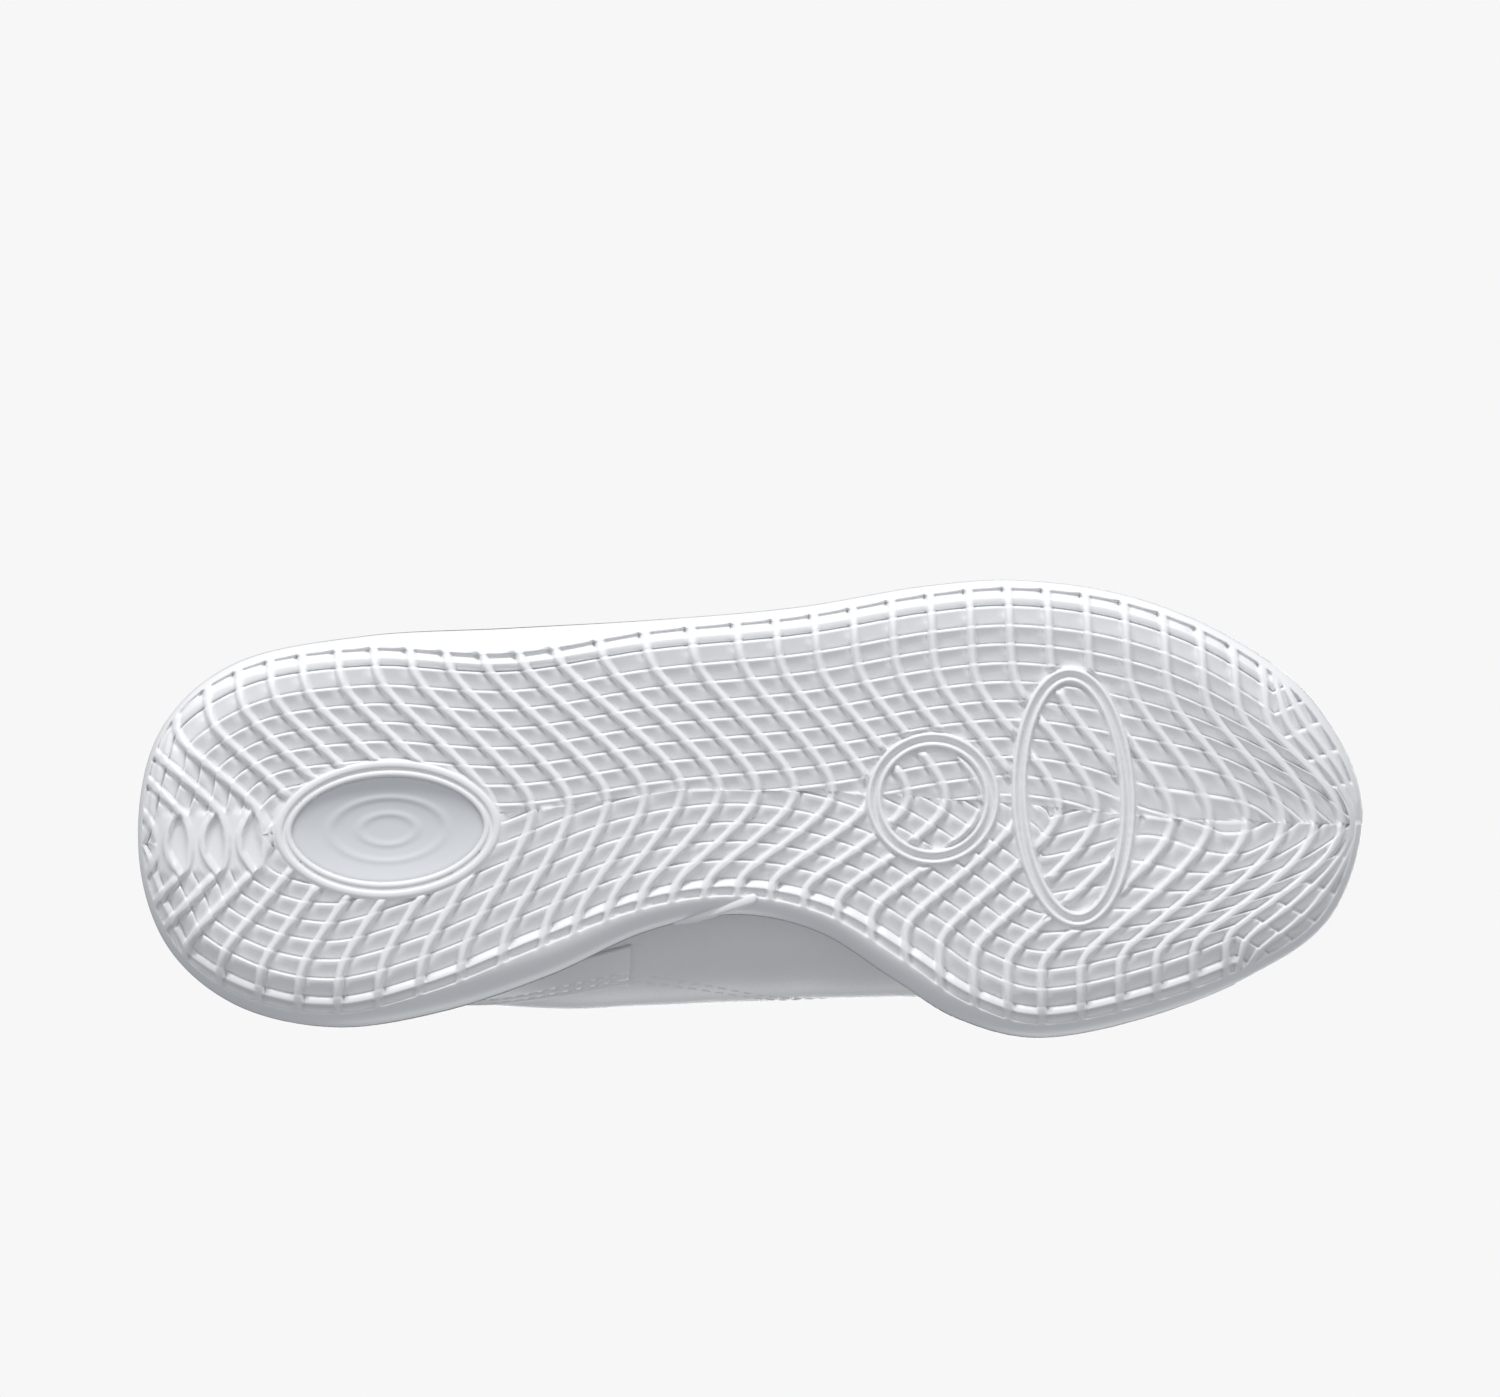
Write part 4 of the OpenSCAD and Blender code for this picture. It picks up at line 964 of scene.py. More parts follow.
# ---- quarters and eyestays ----
for side, word in ((-1, "lateral"), (1, "medial")):
    S, T = grid(spaced(170, 170), spaced(72, 70))
    F = S if side < 0 else 1 - S
    I = mix(0.02, seam(T) + 0.30, F)
    U = side_u(side, I)
    lap = smooth((I - (seam(T) - 0.75)) / 0.55)
    top = -(LEATHER + 0.02) * lap
    front = "a1" if side < 0 else "a0"
    q = Shell("quarter_%s_piece" % word, U, T, top, LEATHER, upper_m, holes=HOLES[side],
              rows=((front, 1.8), (front, 3.8)))
    put(q.obj, "quarter_" + word)
    lines = [q.line(front, 1.8, 1.5), q.line(front, 3.8, 1.5)]
    # two rows that run down from the lacing to the sole
    t = np.linspace(0, 1, 60)
    for shift in (0.0, 0.26):
        i = 7.0 + shift - 2.6 * t + 0.9 * np.sin(math.pi * t)
        v = 0.72 - 0.50 * t
        lines.append(np.column_stack([side_u(side, i), v, np.zeros(60)]))
    stitches("quarter_%s_stitching" % word, "quarter_" + word, lines)

    S, T = grid(spaced(120, 90), spaced(22, 16))
    I = mix(5.95, 10.6, S) if side < 0 else mix(10.6, 5.95, S)
    U = side_u(side, I)
    end = np.clip((I - 9.75) / 0.85, 0, 1)
    wide = 5 + 11 * np.sqrt(np.maximum(0, 1 - end ** 2.6))
    low = 1 - 0.1 * wide / np.linalg.norm(upper_at(U, 1) - upper_at(U, 0.9), axis=-1)
    V = low + (0.995 - low) * T
    rows = (("b0", 1.6), ("b0", 3.3), ("b1", 1.6))
    e = Shell("eyestay_%s_piece" % word, U, V, -UNDER, UNDER, overlay_m, holes=HOLES[side], rows=rows)
    put(e.obj, "eyestay_" + word)
    stitches("eyestay_%s_stitching" % word, "eyestay_" + word,
             [e.line("b0", 1.6, 1.4), e.line("b0", 3.3, 1.6), e.line("b1", 1.6, 1.4),
              e.line("a0", 1.6, 2.6), e.line("a1", 1.6, 2.6)])

    # eyelets
    top = UNDER + 0.35
    prof = [(2.5, -LEATHER - 0.9), (2.5, top - 0.4), (2.52, top + 0.2), (2.75, top + 0.55), (3.1, top + 0.75),
            (3.6, top + 0.8), (4.1, top + 0.66), (4.45, top + 0.4), (4.6, top + 0.05), (4.55, top - 0.2),
            (4.3, top - 0.35), (3.0, top - 0.4), (3.0, -LEATHER - 0.9)]
    prof.append(prof[0])
    verts, faces = [], []
    for k in range(EYELETS):
        u, v = side_u(side, eyelet_station(k)), eyelet_v(side, k)
        z, x = outward(u, v), along(u, v)
        y = np.cross(z, x)
        faces += grid_faces(len(prof), EYELET_SIDES, offset=len(verts) * EYELET_SIDES, wrap=True, flip=True)
        verts += [ring_at(upper_at(u, v) + z * h, x, y, r, EYELET_SIDES) for r, h in prof]
    o = mesh_object("eyelets_%s_piece" % word, np.vstack(verts), faces, metal_m)
    put(o, "eyelets_" + word)

# ---- heel ----


def counter_edge(i):
    return 0.56 - 0.34 * smooth((np.abs(i) - 1.2) / 3.3)


S, T = grid(spaced(180, 190), spaced(40, 38))
I = mix(-4.5, 4.5, S)
V = 0.10 + (counter_edge(I) - 0.10) * T
counter = Shell("heel_counter_piece", station(I), V, -UNDER, UNDER, overlay_m,
                rows=(("b1", 1.7), ("b1", 3.6)))
put(counter.obj, "heel_counter")
stitches("heel_counter_stitching", "heel_counter",
         [counter.line("b1", 1.7, 2.0), counter.line("b1", 3.6, 2.0)])


def step_out(v):
    return GAP + (LEATHER + GAP) * (1 - smooth((v - 0.565) / 0.05))


S, T = grid(spaced(14, 7.5), spaced(70, 60))
V = mix(0.17, 0.83, T)
strip = Shell("heel_strip_piece", station(mix(-0.3, 0.3, S)), V, -step_out(V) - LEATHER, LEATHER + GAP,
              overlay_m, rows=(("a0", 1.3), ("a1", 1.3)))
put(strip.obj, "heel_strip")
stitches("heel_strip_stitching", "heel_strip", [strip.line("a0", 1.3, 1.5), strip.line("a1", 1.3, 1.5)])

S, T = grid(spaced(60, 50), spaced(22, 16))
I = mix(-1, 1, S)
V = mix(0.8 + 0.06 * I * I, 0.985, T)
tab = Shell("heel_tab_piece", station(I), V, -UNDER - 0.7, UNDER + 0.7, overlay_m,
            rows=(("b0", 1.6), ("a0", 1.6), ("a1", 1.6)))
put(tab.obj, "heel_tab")
stitches("heel_tab_stitching", "heel_tab",
         [tab.line("b0", 1.6, 1.6), tab.line("b0", 3.2, 3.2),
          tab.line("a0", 1.6, 2.5), tab.line("a1", 1.6, 2.5)])

# ---- linings ----


def lining_edge(i):
    return 0.60 + 0.22 * smooth((np.abs(i) - 5) / 1.4)


S, T = grid(np.linspace(0, 1, 160), np.linspace(0, 1, 40))
far = seam(0.9 * T)
I = mix(0.1 - far, far - 0.1, S)
V = 0.01 + (lining_edge(I) + 0.03) * T
side_lining = Shell("quarter_lining_piece", station(I), V, LINING_TOP, LINING, lining_m, roll=0.3)
put(side_lining.obj, "quarter_lining")
S, T = grid(np.linspace(0, 1, 120), np.linspace(0, 1, 40))
U = station(mix(seam(T) - 0.1, STATIONS - seam(T) + 0.1, S))
front_lining = Shell("vamp_lining_piece", U, 0.01 + 0.95 * T, LINING_TOP - 0.1, LINING, lining_m, roll=0.3)
put(front_lining.obj, "vamp_lining")

# ---- collar ----


def collar_depth(u, v):
    i = np.abs((u * STATIONS + 12) % STATIONS - 12)
    t = (v - 0.62) / 0.38
    ends = smooth((THROAT_TOP - i) / 1.2)
    bulge = np.maximum(0, np.sin(math.pi * np.minimum(1, 0.05 + 0.87 * t))) ** 0.7
    return UNDER + 0.6 + 4.4 * ends * bulge


def cushion(name, top, bottom, material, level=2):
    """Closed pad between two grids of points, rounded by subdivision."""
    n, m = top.shape[:2]
    v = np.vstack([top.reshape(-1, 3), bottom.reshape(-1, 3)])
    f = grid_faces(n, m, flip=True) + grid_faces(n, m, offset=n * m)
    f += rim_faces(n, m).tolist()
    o = mesh_object(name, v, f, material)
    weld(o)
    sub = o.modifiers.new("round", "SUBSURF")
    sub.levels = sub.render_levels = level
    return o


S, T = grid(np.linspace(0, 1, 56), np.linspace(0, 1, 12))
I = mix(0.02 - THROAT_TOP, THROAT_TOP - 0.02, S)
U = station(I)
V = mix(lining_edge(I) + 0.03, 0.99, T)
pad_in = collar_depth(U, V) + GAP + LINING
pucker = 0.22 * np.sin(I * 9.0 + 1.5 * np.sin(I * 2.1)) * np.sin(math.pi * T) ** 2
pad = cushion("collar_pad_piece", at_depth(U, V, UNDER + 0.05), at_depth(U, V, pad_in + pucker), lining_m)
put(pad, ["collar_foam", "collar_lining"])


def loop_through(points, n):
    """Closed smooth curve through a few points, sampled n times."""
    return closed_curve(points, np.arange(n) / n)


COLLAR_RINGS, COLLAR_SIDES = 260, 28
verts = []
for i in np.linspace(-THROAT_TOP - 0.12, THROAT_TOP + 0.12, COLLAR_RINGS):
    u = station(i)
    w = float(collar_depth(u, 0.99)) + LINING + 0.5
    end = 1 - 0.65 * max(0.0, (abs(i) - THROAT_TOP + 0.05) / 0.17) ** 2
    shape = np.array([[-0.5, 0.2], [-0.75, 1.1], [0.2, 2.15], [w * 0.5, 2.6], [w - 0.7, 2.15], [w + 0.2, 1.1],
                      [w, 0.1], [w * 0.5, -0.3]])
    c = loop_through(shape, COLLAR_SIDES)
    mid = c.mean(0)
    c = mid + (c - mid) * end
    verts.append(upper_at(u, 1) + upward(u, 0.99) * c[:, 1:2] - outward(u, 0.99) * c[:, 0:1])
faces = tube_faces(COLLAR_RINGS, COLLAR_SIDES)
roll_o = mesh_object("collar_binding_piece", np.vstack(verts), faces, binding_m)
weld(roll_o)
put(roll_o, "collar_binding")
i = np.linspace(-THROAT_TOP + 0.15, THROAT_TOP - 0.15, 200)
i = i[np.abs(i) > 1.08]
line = np.column_stack([station(i), np.full(len(i), 0.966), np.full(len(i), 0.0)])
half_n = (i < 0).sum()
stitches("collar_stitching", "collar_binding", [line[:half_n], line[half_n:]])
i = np.linspace(-5.3, 5.3, 200)
low = lining_edge(i) + 0.01
line = np.column_stack([station(i), low - 0.03, np.zeros(200)])
line = line[np.abs(i) > 0.35]
half_n = (i[np.abs(i) > 0.35] < 0).sum()
stitches("collar_lower_stitching", "collar_binding", [line[:half_n], line[half_n:]])

# ---- tongue ----
FOOT = np.array([53.0, 0, 51])
T_DIR = np.array([-90.0, 0, 58]) / math.hypot(90, 58)
T_OUT = np.array([T_DIR[2], 0, -T_DIR[0]])
T_ACROSS = np.array([0, 1.0, 0])
T_LONG = 107.0


def crown(q):
    return np.interp(q, [-6, 12, 31, 54, 77, 92, 107], [0.3, 0.3, -0.3, -1.5, -1.9, -0.8, 1.4])


def half_width(q):
    return np.interp(q, [-6, 0, 12, 25, 45, 62, 75, 84, 94, 101, 105, 107],
                     [11, 13, 17.5, 20.5, 20.5, 17.2, 13.8, 13.6, 17.5, 17.8, 15.5, 12])


def steep(q):
    return np.interp(q, [-6, 54, 77, 92, 107], [6, 7.2, 9.5, 8, 6.5])


def tongue_point(q, y, c):
    q, y, c = np.broadcast_arrays(np.asarray(q, float), np.asarray(y, float), np.asarray(c, float))
    a = steep(q)
    r = np.sqrt(1 + y * y / 81)
    slope = a * y / (81 * r)
    n = np.sqrt(1 + slope * slope)
    yy = y + c * slope / n
    zz = crown(q) - a * (r - 1) + c / n
    return FOOT + T_DIR * q[..., None] + T_ACROSS * yy[..., None] + T_OUT * zz[..., None]


def on_tongue(q, s, d):
    return tongue_point(q, s * (half_width(q) - 0.9), -np.asarray(d, float))


def pad_depth(q, s):
    return 1.9 + 3.0 * np.maximum(0, 1 - s * s) ** 0.5 * smooth((q + 8) / 26) * smooth((T_LONG + 1 - q) / 12)


Q, C = grid(mix(-5.1, T_LONG - 0.9, spaced(110, 112)), 2 * spaced(36, 34) - 1)
bars = (0.35 * np.exp(-(((Q + 4) % 9.5 - 4.75) / 0.7) ** 2) * smooth((Q - 14) / 6) * smooth((80 - Q) / 6)
        * smooth((0.86 - np.abs(C)) / 0.08))
shell_t = Shell("tongue_shell_piece", Q, C, bars, 1.2, upper_m, at=on_tongue, flip=True,
                rows=(("b0", 2.2), ("b1", 2.2), ("a1", 3.0)))
put(shell_t.obj, "tongue_shell", "tongue")
stitches("tongue_stitching", "tongue_shell",
         [shell_t.line("b0", 3.4, 3.0), shell_t.line("b1", 3.4, 3.0), shell_t.line("a1", 3.0, 4.0)],
         at=on_tongue, body="tongue")
Q, C = grid(np.linspace(-4.6, T_LONG - 1.4, 24), np.linspace(-1, 1, 9))
across = C * (half_width(Q) - 1.6)
pad_in = -pad_depth(Q, C) - 0.9 + 0.15 * np.sin(Q * 0.5)
pad = cushion("tongue_pad_piece", tongue_point(Q, across, -1.25), tongue_point(Q, across, pad_in), lining_m)
put(pad, ["tongue_foam", "tongue_lining"], "tongue")

samples = [(q, -1.0) for q in np.linspace(6, 104.5, 60)]
samples += [(T_LONG, k) for k in np.linspace(-5 / 6, 5 / 6, 33)]
samples += [(q, 1.0) for q in np.linspace(104.5, 6, 60)]
BINDING_SIDES = 24
shape = np.array([[0, -3.2], [0, 0.3], [0.9, 0.55], [1.75, -0.2], [1.95, -1.4], [1.65, -2.6], [0.9, -3.3]])
c = loop_through(shape, BINDING_SIDES)
verts = []
for q, e in samples:
    top = q >= T_LONG
    y = e * half_width(q) if top else e * (half_width(q) - 0.5)
    corner = smooth(abs(e) * 6 - 4) if top else smooth((q - 98) / 7)
    a = 1 - 0.5 * corner if top else 0.5 * corner
    b = np.sign(e) * (0.5 * corner if top else 1 - 0.5 * corner)
    reach = np.array([a, b]) / math.hypot(a, b)
    verts.append(tongue_point(q + reach[0] * c[:, 0], y + reach[1] * c[:, 0], c[:, 1]))
tb = mesh_object("tongue_binding_piece", np.vstack(verts), tube_faces(len(samples), BINDING_SIDES), binding_m)
weld(tb)
put(tb, "tongue_binding", "tongue")

# blank patch with a raised border
rings = [(6.0, 9.0, -0.4), (6.0, 9.0, 1.1), (5.9, 8.9, 1.42), (5.6, 8.6, 1.62), (5.1, 8.1, 1.7),
         (4.7, 7.7, 1.62), (4.5, 7.5, 1.4), (4.2, 7.2, 1.3), (3.5, 6.5, 1.3), (3.3, 6.3, 1.42),
         (2.9, 5.9, 1.42), (2.7, 5.7, 1.3), (1.5, 4.4, 1.32), (0.5, 3.2, 1.34), (0.1, 1.0, 1.34)]
PATCH_SIDES = 72
a = around(PATCH_SIDES)
verts = []
for ha, hb, h in rings:
    x = np.sign(np.cos(a)) * np.abs(np.cos(a)) ** 0.5 * ha
    y = np.sign(np.sin(a)) * np.abs(np.sin(a)) ** 0.5 * hb
    verts.append(FOOT + T_DIR * (96 + x)[:, None] + T_ACROSS * y[:, None] + T_OUT * h)
faces = grid_faces(len(rings), PATCH_SIDES, wrap=True)
faces.append(((len(rings) - 1) * PATCH_SIDES + np.arange(PATCH_SIDES)).tolist())
o = mesh_object("tongue_badge_piece", np.vstack(verts), faces, badge_m)
weld(o)
put(o, "tongue_badge", "tongue")

# ---- lace ----
LACE_UNDER = LEATHER + 1.75
BAR_RISE = GAP + LEATHER + 2.0
LACE_W, LACE_T = 7.0, 1.1


def row_normal(side, k):
    return outward(side_u(side, eyelet_station(k)), eyelet_v(side, k))


def row_dir(k):
    p, q = eyelet_at(-1, max(k - 1, 0), 0), eyelet_at(-1, min(k + 1, EYELETS - 1), 0)
    return unit(np.array([q[0] - p[0], 0, q[2] - p[2]]))


def inward(side, k):
    return unit(np.cross(row_dir(k), row_normal(side, k))) * -side


def rise_through(side, k, turn):
    p, n, t, y, h = eyelet_at(side, k, 0), row_normal(side, k), row_dir(k) * turn, inward(side, k), LACE_T / 2
    return [(p - n * 1.6, t * 1.4, y * 0.8),
            (p - n * 0.3, t * 1.9, y * 0.8),
            (p + n * (BAR_RISE - 0.9), t * 2, y * 0.8),
            (p + n * BAR_RISE + y * 0.5, t * 2.2, (y - n) * 0.55),
            (p + n * (BAR_RISE + 0.3) + y * 1.6, t * 2.4, -n * h),
            (p + n * (BAR_RISE + 0.2) + y * 5, t * LACE_W / 2, -n * h)]


def bar(side, k, turn):
    p, q, t = eyelet_at(side, k, 0), eyelet_at(-side, k, 0), row_dir(k)
    high = np.array([t[2], 0, -t[0]])
    return (rise_through(side, k, turn)
            + [(mix(p, q, f) + high * (BAR_RISE + 1.6), t * turn * LACE_W / 2, -high * LACE_T / 2)
               for f in (0.32, 0.5, 0.68)]
            + rise_through(-side, k, turn)[::-1])


def climb(side, k, m, turn, shift):
    step, span, out = (1 if m > k else -1), abs(m - k), []
    for f in (0.12 / span, 0.5 / span, 0.5, 1 - 0.5 / span, 1 - 0.12 / span):
        r = k + (m - k) * f
        lo = int(min(r, EYELETS - 1.001))
        p = mix(eyelet_at(side, lo, LACE_UNDER), eyelet_at(side, lo + 1, LACE_UNDER), r - lo)
        near = int(math.floor(r + 0.5))
        n, y = row_normal(side, near), inward(side, near)
        e = min(1, 2.4 * min(f, 1 - f) * span)
        out.append((p + y * shift * e, n * turn * step * 0.6, y * (1 + 0.8 * e)))
    return out


def tail(side, k, turn, reach):
    n, u, v = row_normal(side, k), side_u(side, eyelet_station(k)), eyelet_v(side, k)
    slope = 0.1 / np.linalg.norm(upper_at(u, v) - upper_at(u, v - 0.1))
    out = []
    for f in (0.1, 0.45, 1):
        w = v + slope * (1.2 - reach * f)
        p = upper_at(u, w) - outward(u, w) * (LACE_UNDER + 0.2 + 2.6 * f)
        out.append((p, row_dir(k) * turn * 1.2, -n * 0.75))
    return out


TOP_E = EYELETS - 1
path = (tail(1, TOP_E, 1, 15)[::-1] + bar(1, TOP_E, 1) + climb(-1, TOP_E, TOP_E - 2, 1, 3.2)
        + bar(-1, TOP_E - 2, -1) + climb(1, TOP_E - 2, 1, -1, 3.2) + bar(1, 1, 1) + climb(-1, 1, 0, 1, 1)
        + bar(-1, 0, -1) + climb(1, 0, 2, -1, -3.2) + bar(1, 2, 1) + climb(-1, 2, TOP_E - 1, 1, -3.2)
        + bar(-1, TOP_E - 1, -1) + tail(1, TOP_E - 1, -1, 15))
pts = np.array([np.concatenate(c) for c in path])
chord = np.linalg.norm(np.diff(pts[:, :3], axis=0), axis=1)
knots = run_length(pts[:, :3])
slopes = np.diff(pts, axis=0) / chord[:, None]
tang = np.zeros_like(pts)
tang[0], tang[-1] = slopes[0], slopes[-1]
w0, w1 = chord[:-1, None], chord[1:, None]
tang[1:-1] = (slopes[:-1] * w1 + slopes[1:] * w0) / (w0 + w1)
steps = np.arange(0, knots[-1], 0.55)
j = np.clip(np.searchsorted(knots, steps, side="right") - 1, 0, len(chord) - 1)
f = ((steps - knots[j]) / chord[j])[:, None]
h = chord[j][:, None]
curve = ((2 * f ** 3 - 3 * f ** 2 + 1) * pts[j] + (f ** 3 - 2 * f ** 2 + f) * h * tang[j]
         + (-2 * f ** 3 + 3 * f ** 2) * pts[j + 1] + (f ** 3 - f ** 2) * h * tang[j + 1])
lin = pts[j] * (1 - f) + pts[j + 1] * f
curve = 0.7 * curve + 0.3 * lin
LACE_SIDES = 26
a = around(LACE_SIDES)
cx = np.sign(np.cos(a)) * np.abs(np.cos(a)) ** 0.75
cy = np.sign(np.sin(a)) * np.abs(np.sin(a)) ** 0.62
wide = np.linalg.norm(curve[:, 3:6], axis=1)[:, None, None]
weave = 0.055 * np.sin(2 * math.pi * steps[:, None] / 2.2 + 3.2 * np.abs(cx)[None] * 2)[..., None]
rib_l = (0.05 * np.cos(cx * 9.4))[None, :, None]
thick = curve[:, None, 6:9]
proud = unit(thick) * np.sign(cy)[None, :, None] * np.abs(cy)[None, :, None]
body = (curve[:, None, :3] + curve[:, None, 3:6] * cx[None, :, None] + thick * cy[None, :, None]
        + proud * (weave + rib_l) * np.minimum(1, wide / 3))
faces = tube_faces(len(steps), LACE_SIDES, flip=True)
lace_o = mesh_object("lace_piece", body.reshape(-1, 3), faces, lace_m)
weld(lace_o)
put(lace_o, "lace")

verts, faces = [], []
prof = [(0.5, -0.1), (1.1, 0.0), (1.2, 0.2), (1.2, 1.4), (1.12, 1.6), (1.2, 1.8), (1.2, 3.0), (1.12, 3.2),
        (1.2, 3.4), (1.2, 12.0), (1.1, 12.6), (0.8, 12.9), (0.2, 13.0)]
AGLET_SIDES = 28
for e0, e1 in ((path[0][0], path[1][0]), (path[-1][0], path[-2][0])):
    z = unit(e0 - e1)
    x = unit(np.cross([1.0, 0, 0], z))
    y = np.cross(z, x)
    faces += tube_faces(len(prof), AGLET_SIDES, offset=len(verts) * AGLET_SIDES)
    verts += [ring_at(e0 + z * (0.6 + h), x, y, r, AGLET_SIDES) for r, h in prof]
o = mesh_object("aglets_piece", np.vstack(verts), faces, aglet_m)
weld(o)
put(o, "aglets")

# ---- footbed, and the parts inside ----
FOAM_X = [-136, -100, -60, -20, 20, 60, 100, 136]
FOAM_Z = [16, 16, 15.6, 14.6, 12.6, 11, 12, 15.4]
N = 160
u = np.arange(N) / N


def plate_edge(v, inset):
    p = upper_at(u, v)
    d = upper_at(u + HAIR, v) - upper_at(u - HAIR, v)
    m = unit(np.stack([-d[:, 1], d[:, 0]], 1))
    return p[:, :2] + m * inset


e0, e1 = plate_edge(0.02, 6.0), plate_edge(0.06, 6.0)
spine_y = np.interp(e1[:, 0], [-120, -20, 60, 120], [0, -8, 0, 2])
spine = np.column_stack([np.clip(e1[:, 0], -88, 88), spine_y])
rings = [np.column_stack([e0, np.interp(e0[:, 0], FOAM_X, FOAM_Z) + 1.5]),
         np.column_stack([mix(e0, e1, 0.7), np.interp(e0[:, 0], FOAM_X, FOAM_Z) + 4.9]),
         np.column_stack([e1, np.interp(e1[:, 0], FOAM_X, FOAM_Z) + 5.4])]
for f in (0.03, 0.07, 0.12, 0.2, 0.3, 0.4, 0.5, 0.6, 0.7, 0.8, 0.9, 0.97):
    xy = mix(e1, spine, f)
    dish = 0.06 * np.sin(xy[:, 0] * 0.9) - 0.9 * smooth(f / 0.35)
    rings.append(np.column_stack([xy, np.interp(xy[:, 0], FOAM_X, FOAM_Z) + 5.5 + dish]))
faces = grid_faces(len(rings), N, wrap=True)
last = (len(rings) - 1) * N
for k in range(N // 2):
    quad = [last + k, last + (k + 1) % N, last + (N - k - 1) % N, last + (N - k) % N]
    faces.append(list(dict.fromkeys(quad)))
bed = mesh_object("sockliner_piece", np.vstack(rings), [fc for fc in faces if len(set(fc)) > 2], sock_m)
weld(bed)
put(bed, "sockliner")
for node, mat, slot_name in (("midsole", foam_m, "midsole_foam"), ("strobel_board", board_m, "board"),
                             ("toe_puff", stiff_m, "stiffener"), ("heel_stiffener", stiff_m, "stiffener")):
    o = bpy.data.objects[node]
    o.data.materials.clear()
    o.data.materials.append(mat)


# ---------------------------------------------------------------- floor, world, lights, camera
scene = bpy.context.scene
floor_m = principled("floor_paper", (0.62, 0.62, 0.62), 0.9, Emission_Color=(1, 1, 1, 1), Emission_Strength=0.24)
nt = floor_m.node_tree
# clear from below, where the camera looks up at the sole, and thinning out away from the shoe, so the
# paper has no edge against the backdrop
geo, clear, mixer = (add_node(nt, kind) for kind in ("NewGeometry", "BsdfTransparent", "MixShader"))
coord, reach, either = (add_node(nt, kind) for kind in ("TexCoord", "VectorMath", "Math"))
reach.operation = "LENGTH"
either.operation = "MAXIMUM"
fade = add_node(nt, "MapRange", From_Min=0.20, From_Max=0.80)
fade.interpolation_type = "SMOOTHSTEP"
nt.links.new(coord.outputs["Object"], reach.inputs[0])
nt.links.new(reach.outputs["Value"], fade.inputs["Value"])
nt.links.new(fade.outputs["Result"], either.inputs[0])
nt.links.new(geo.outputs["Backfacing"], either.inputs[1])
nt.links.new(either.outputs["Value"], mixer.inputs["Fac"])
nt.links.new(nt.nodes["Principled BSDF"].outputs["BSDF"], mixer.inputs[1])
nt.links.new(clear.outputs["BSDF"], mixer.inputs[2])
nt.links.new(mixer.outputs["Shader"], nt.nodes["Material Output"].inputs["Surface"])
FLOOR_HALF, FLOOR_Z = 3000, -0.4
corners = [(x * FLOOR_HALF, y * FLOOR_HALF, FLOOR_Z) for x, y in ((-1, -1), (1, -1), (1, 1), (-1, 1))]
floor = mesh_object("floor", corners, [[0, 1, 2, 3]], floor_m, shade=False)
floor.visible_shadow = False
floor.visible_diffuse = False
floor.visible_glossy = False

backdrop_m = bpy.data.materials.new("backdrop_paper")
backdrop_m.use_nodes = True
nt = backdrop_m.node_tree
nt.nodes.remove(nt.nodes["Principled BSDF"])
em = add_node(nt, "Emission", Color=(0.93, 0.93, 0.93, 1), Strength=1.0)
nt.links.new(em.outputs["Emission"], nt.nodes["Material Output"].inputs["Surface"])
bpy.ops.mesh.primitive_uv_sphere_add(segments=48, ring_count=24, radius=12)
backdrop = bpy.context.active_object
backdrop.name = "backdrop"
backdrop.data.materials.append(backdrop_m)
for flag in ("visible_diffuse", "visible_glossy", "visible_transmission", "visible_shadow",
             "visible_volume_scatter"):
    setattr(backdrop, flag, False)

world = scene.world or bpy.data.worlds.new("World")
scene.world = world
world.use_nodes = True
# brightest from below and from the outer side, dimming upwards and towards the arch side
wt = world.node_tree
bg = wt.nodes["Background"]
tc, sep, ramp, lean_y, lean_z = (add_node(wt, kind) for kind in
                                 ("TexCoord", "SeparateXYZ", "ValToRGB", "Math", "Math"))
half = add_node(wt, "MapRange", From_Min=-1, From_Max=1)
wt.links.new(tc.outputs["Generated"], sep.inputs["Vector"])
lean_y.operation = "MULTIPLY"
lean_y.inputs[1].default_value = 0.80
lean_z.operation = "MULTIPLY_ADD"
lean_z.inputs[1].default_value = 0.35
wt.links.new(sep.outputs["Y"], lean_y.inputs[0])
wt.links.new(sep.outputs["Z"], lean_z.inputs[0])
wt.links.new(lean_y.outputs["Value"], lean_z.inputs[2])
wt.links.new(lean_z.outputs["Value"], half.inputs["Value"])
wt.links.new(half.outputs["Result"], ramp.inputs["Fac"])
ramp.color_ramp.elements[0].position = 0.05
ramp.color_ramp.elements[0].color = (0.70, 0.70, 0.705, 1)
ramp.color_ramp.elements[1].position = 0.95
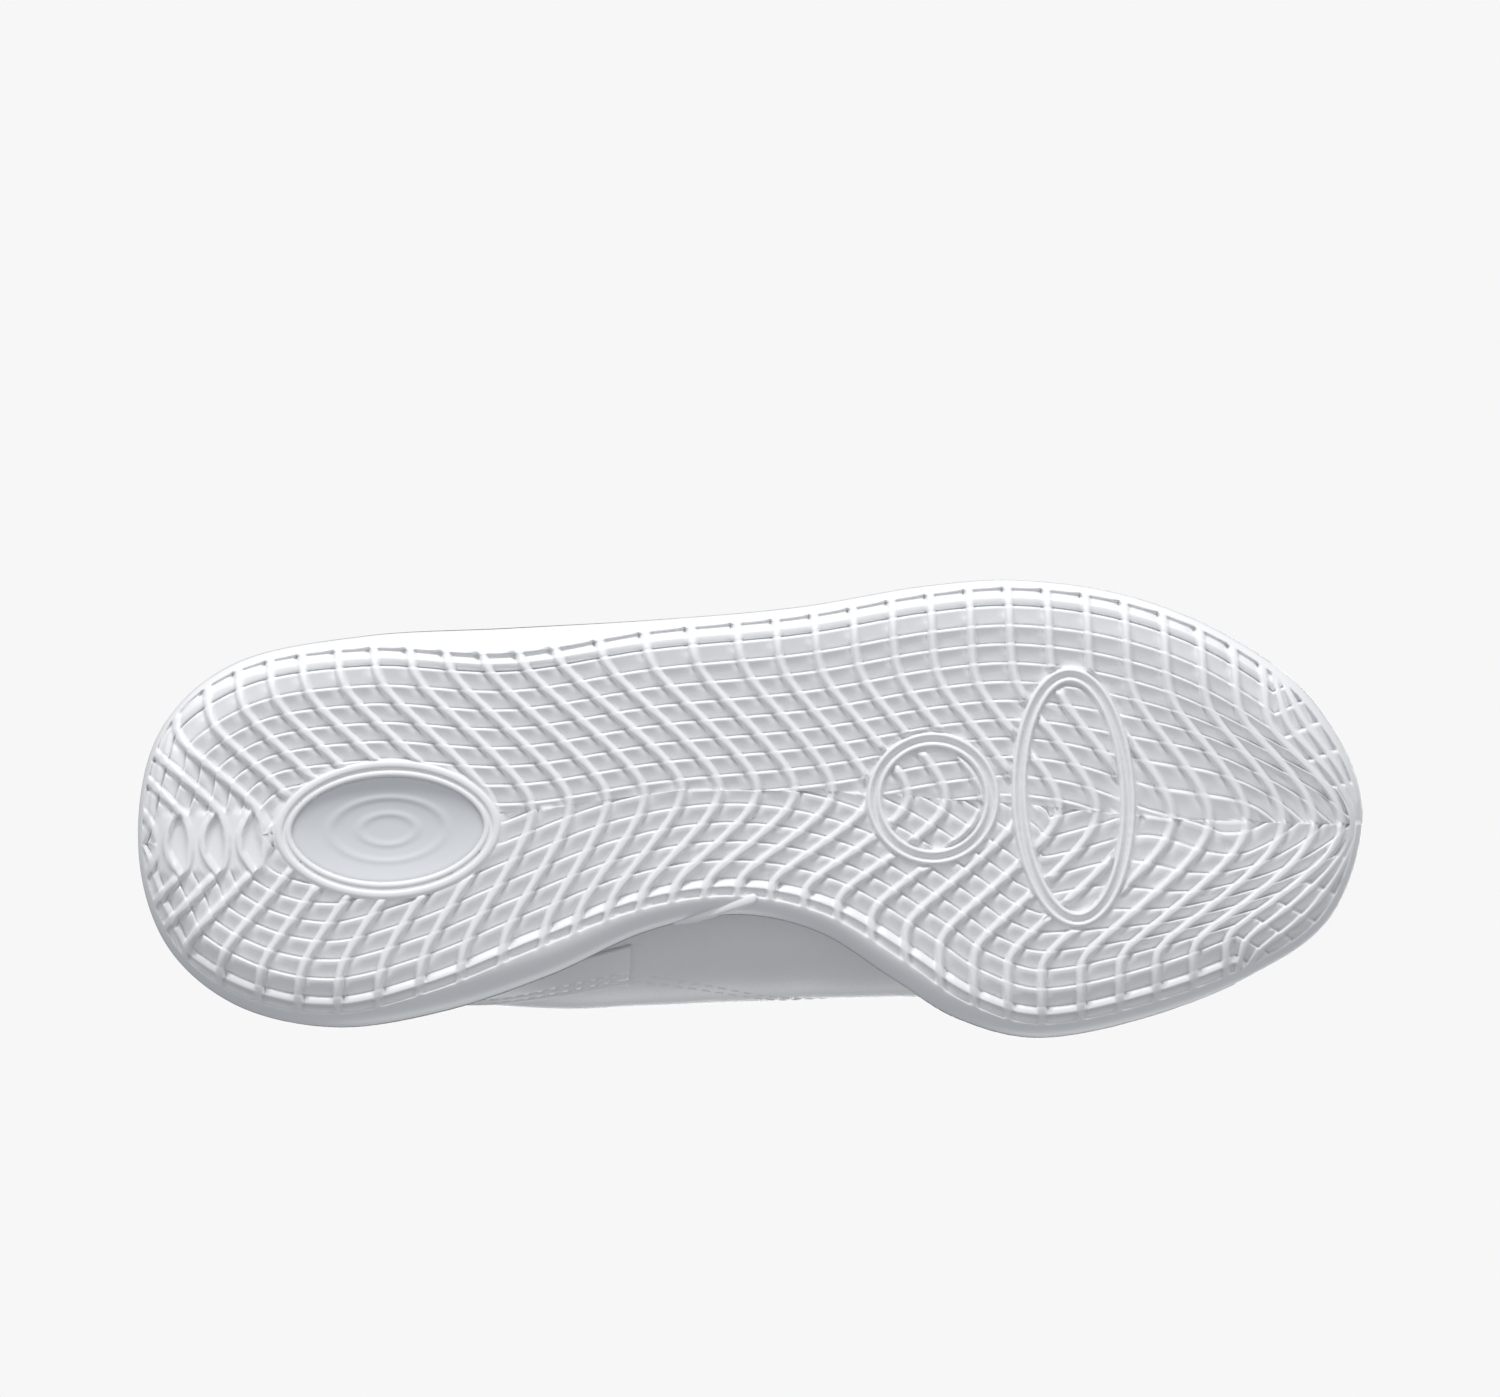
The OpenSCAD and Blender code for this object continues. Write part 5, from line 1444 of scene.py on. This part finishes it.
ramp.color_ramp.elements[1].color = (0.06, 0.07, 0.08, 1)
for at, tone in ((0.33, (0.86, 0.865, 0.88, 1)), (0.52, (0.58, 0.59, 0.61, 1)), (0.68, (0.44, 0.46, 0.49, 1)),
                 (0.84, (0.22, 0.24, 0.27, 1))):
    e = ramp.color_ramp.elements.new(at)
    e.color = tone
wt.links.new(ramp.outputs["Color"], bg.inputs["Color"])
bg.inputs["Strength"].default_value = 0.85
scene.view_settings.view_transform = "Standard"
scene.view_settings.look = "None"
scene.view_settings.exposure = 0.0
scene.view_settings.gamma = 1.0


def area(name, where, target, size, power, color=(1, 1, 1)):
    data = bpy.data.lights.new(name, "AREA")
    data.shape = "RECTANGLE"
    data.size, data.size_y = size
    data.energy = power
    data.color = color
    o = bpy.data.objects.new(name, data)
    o.location = where
    o.rotation_euler = (Vector(target) - Vector(where)).to_track_quat("-Z", "Y").to_euler()
    o.visible_camera = False
    scene.collection.objects.link(o)
    return o


area("key_below", (-0.05, -0.88, -0.48), (0, 0, 0.02), (0.9, 0.12), 7.6)
area("soft_above", (0.3, 0.15, 1.2), (0, 0, 0.05), (0.9, 0.9), 9.0)
area("side_fill", (0.2, 1.1, 0.75), (0, 0, 0.05), (0.8, 0.5), 4.0)

cam_data = bpy.data.cameras.new("Camera")
cam_data.type = "PERSP"
cam_data.sensor_width = 36
cam_data.lens = 200
cam = bpy.data.objects.new("Camera", cam_data)
scene.collection.objects.link(cam)
scene.camera = cam
dist = 0.3307 * cam_data.lens / cam_data.sensor_width
roll = math.radians(2.3)
right = Vector((math.cos(roll), math.sin(roll), 0))
up = Vector((math.sin(roll), -math.cos(roll), 0))
back = right.cross(up)
target = Vector((0.0, -0.001, 0.0)) + up * 25.7 * MM
cam.matrix_world = Matrix((
    (right.x, up.x, back.x, target.x + back.x * dist),
    (right.y, up.y, back.y, target.y + back.y * dist),
    (right.z, up.z, back.z, target.z + back.z * dist),
    (0, 0, 0, 1)))
cam_data.clip_end = 100
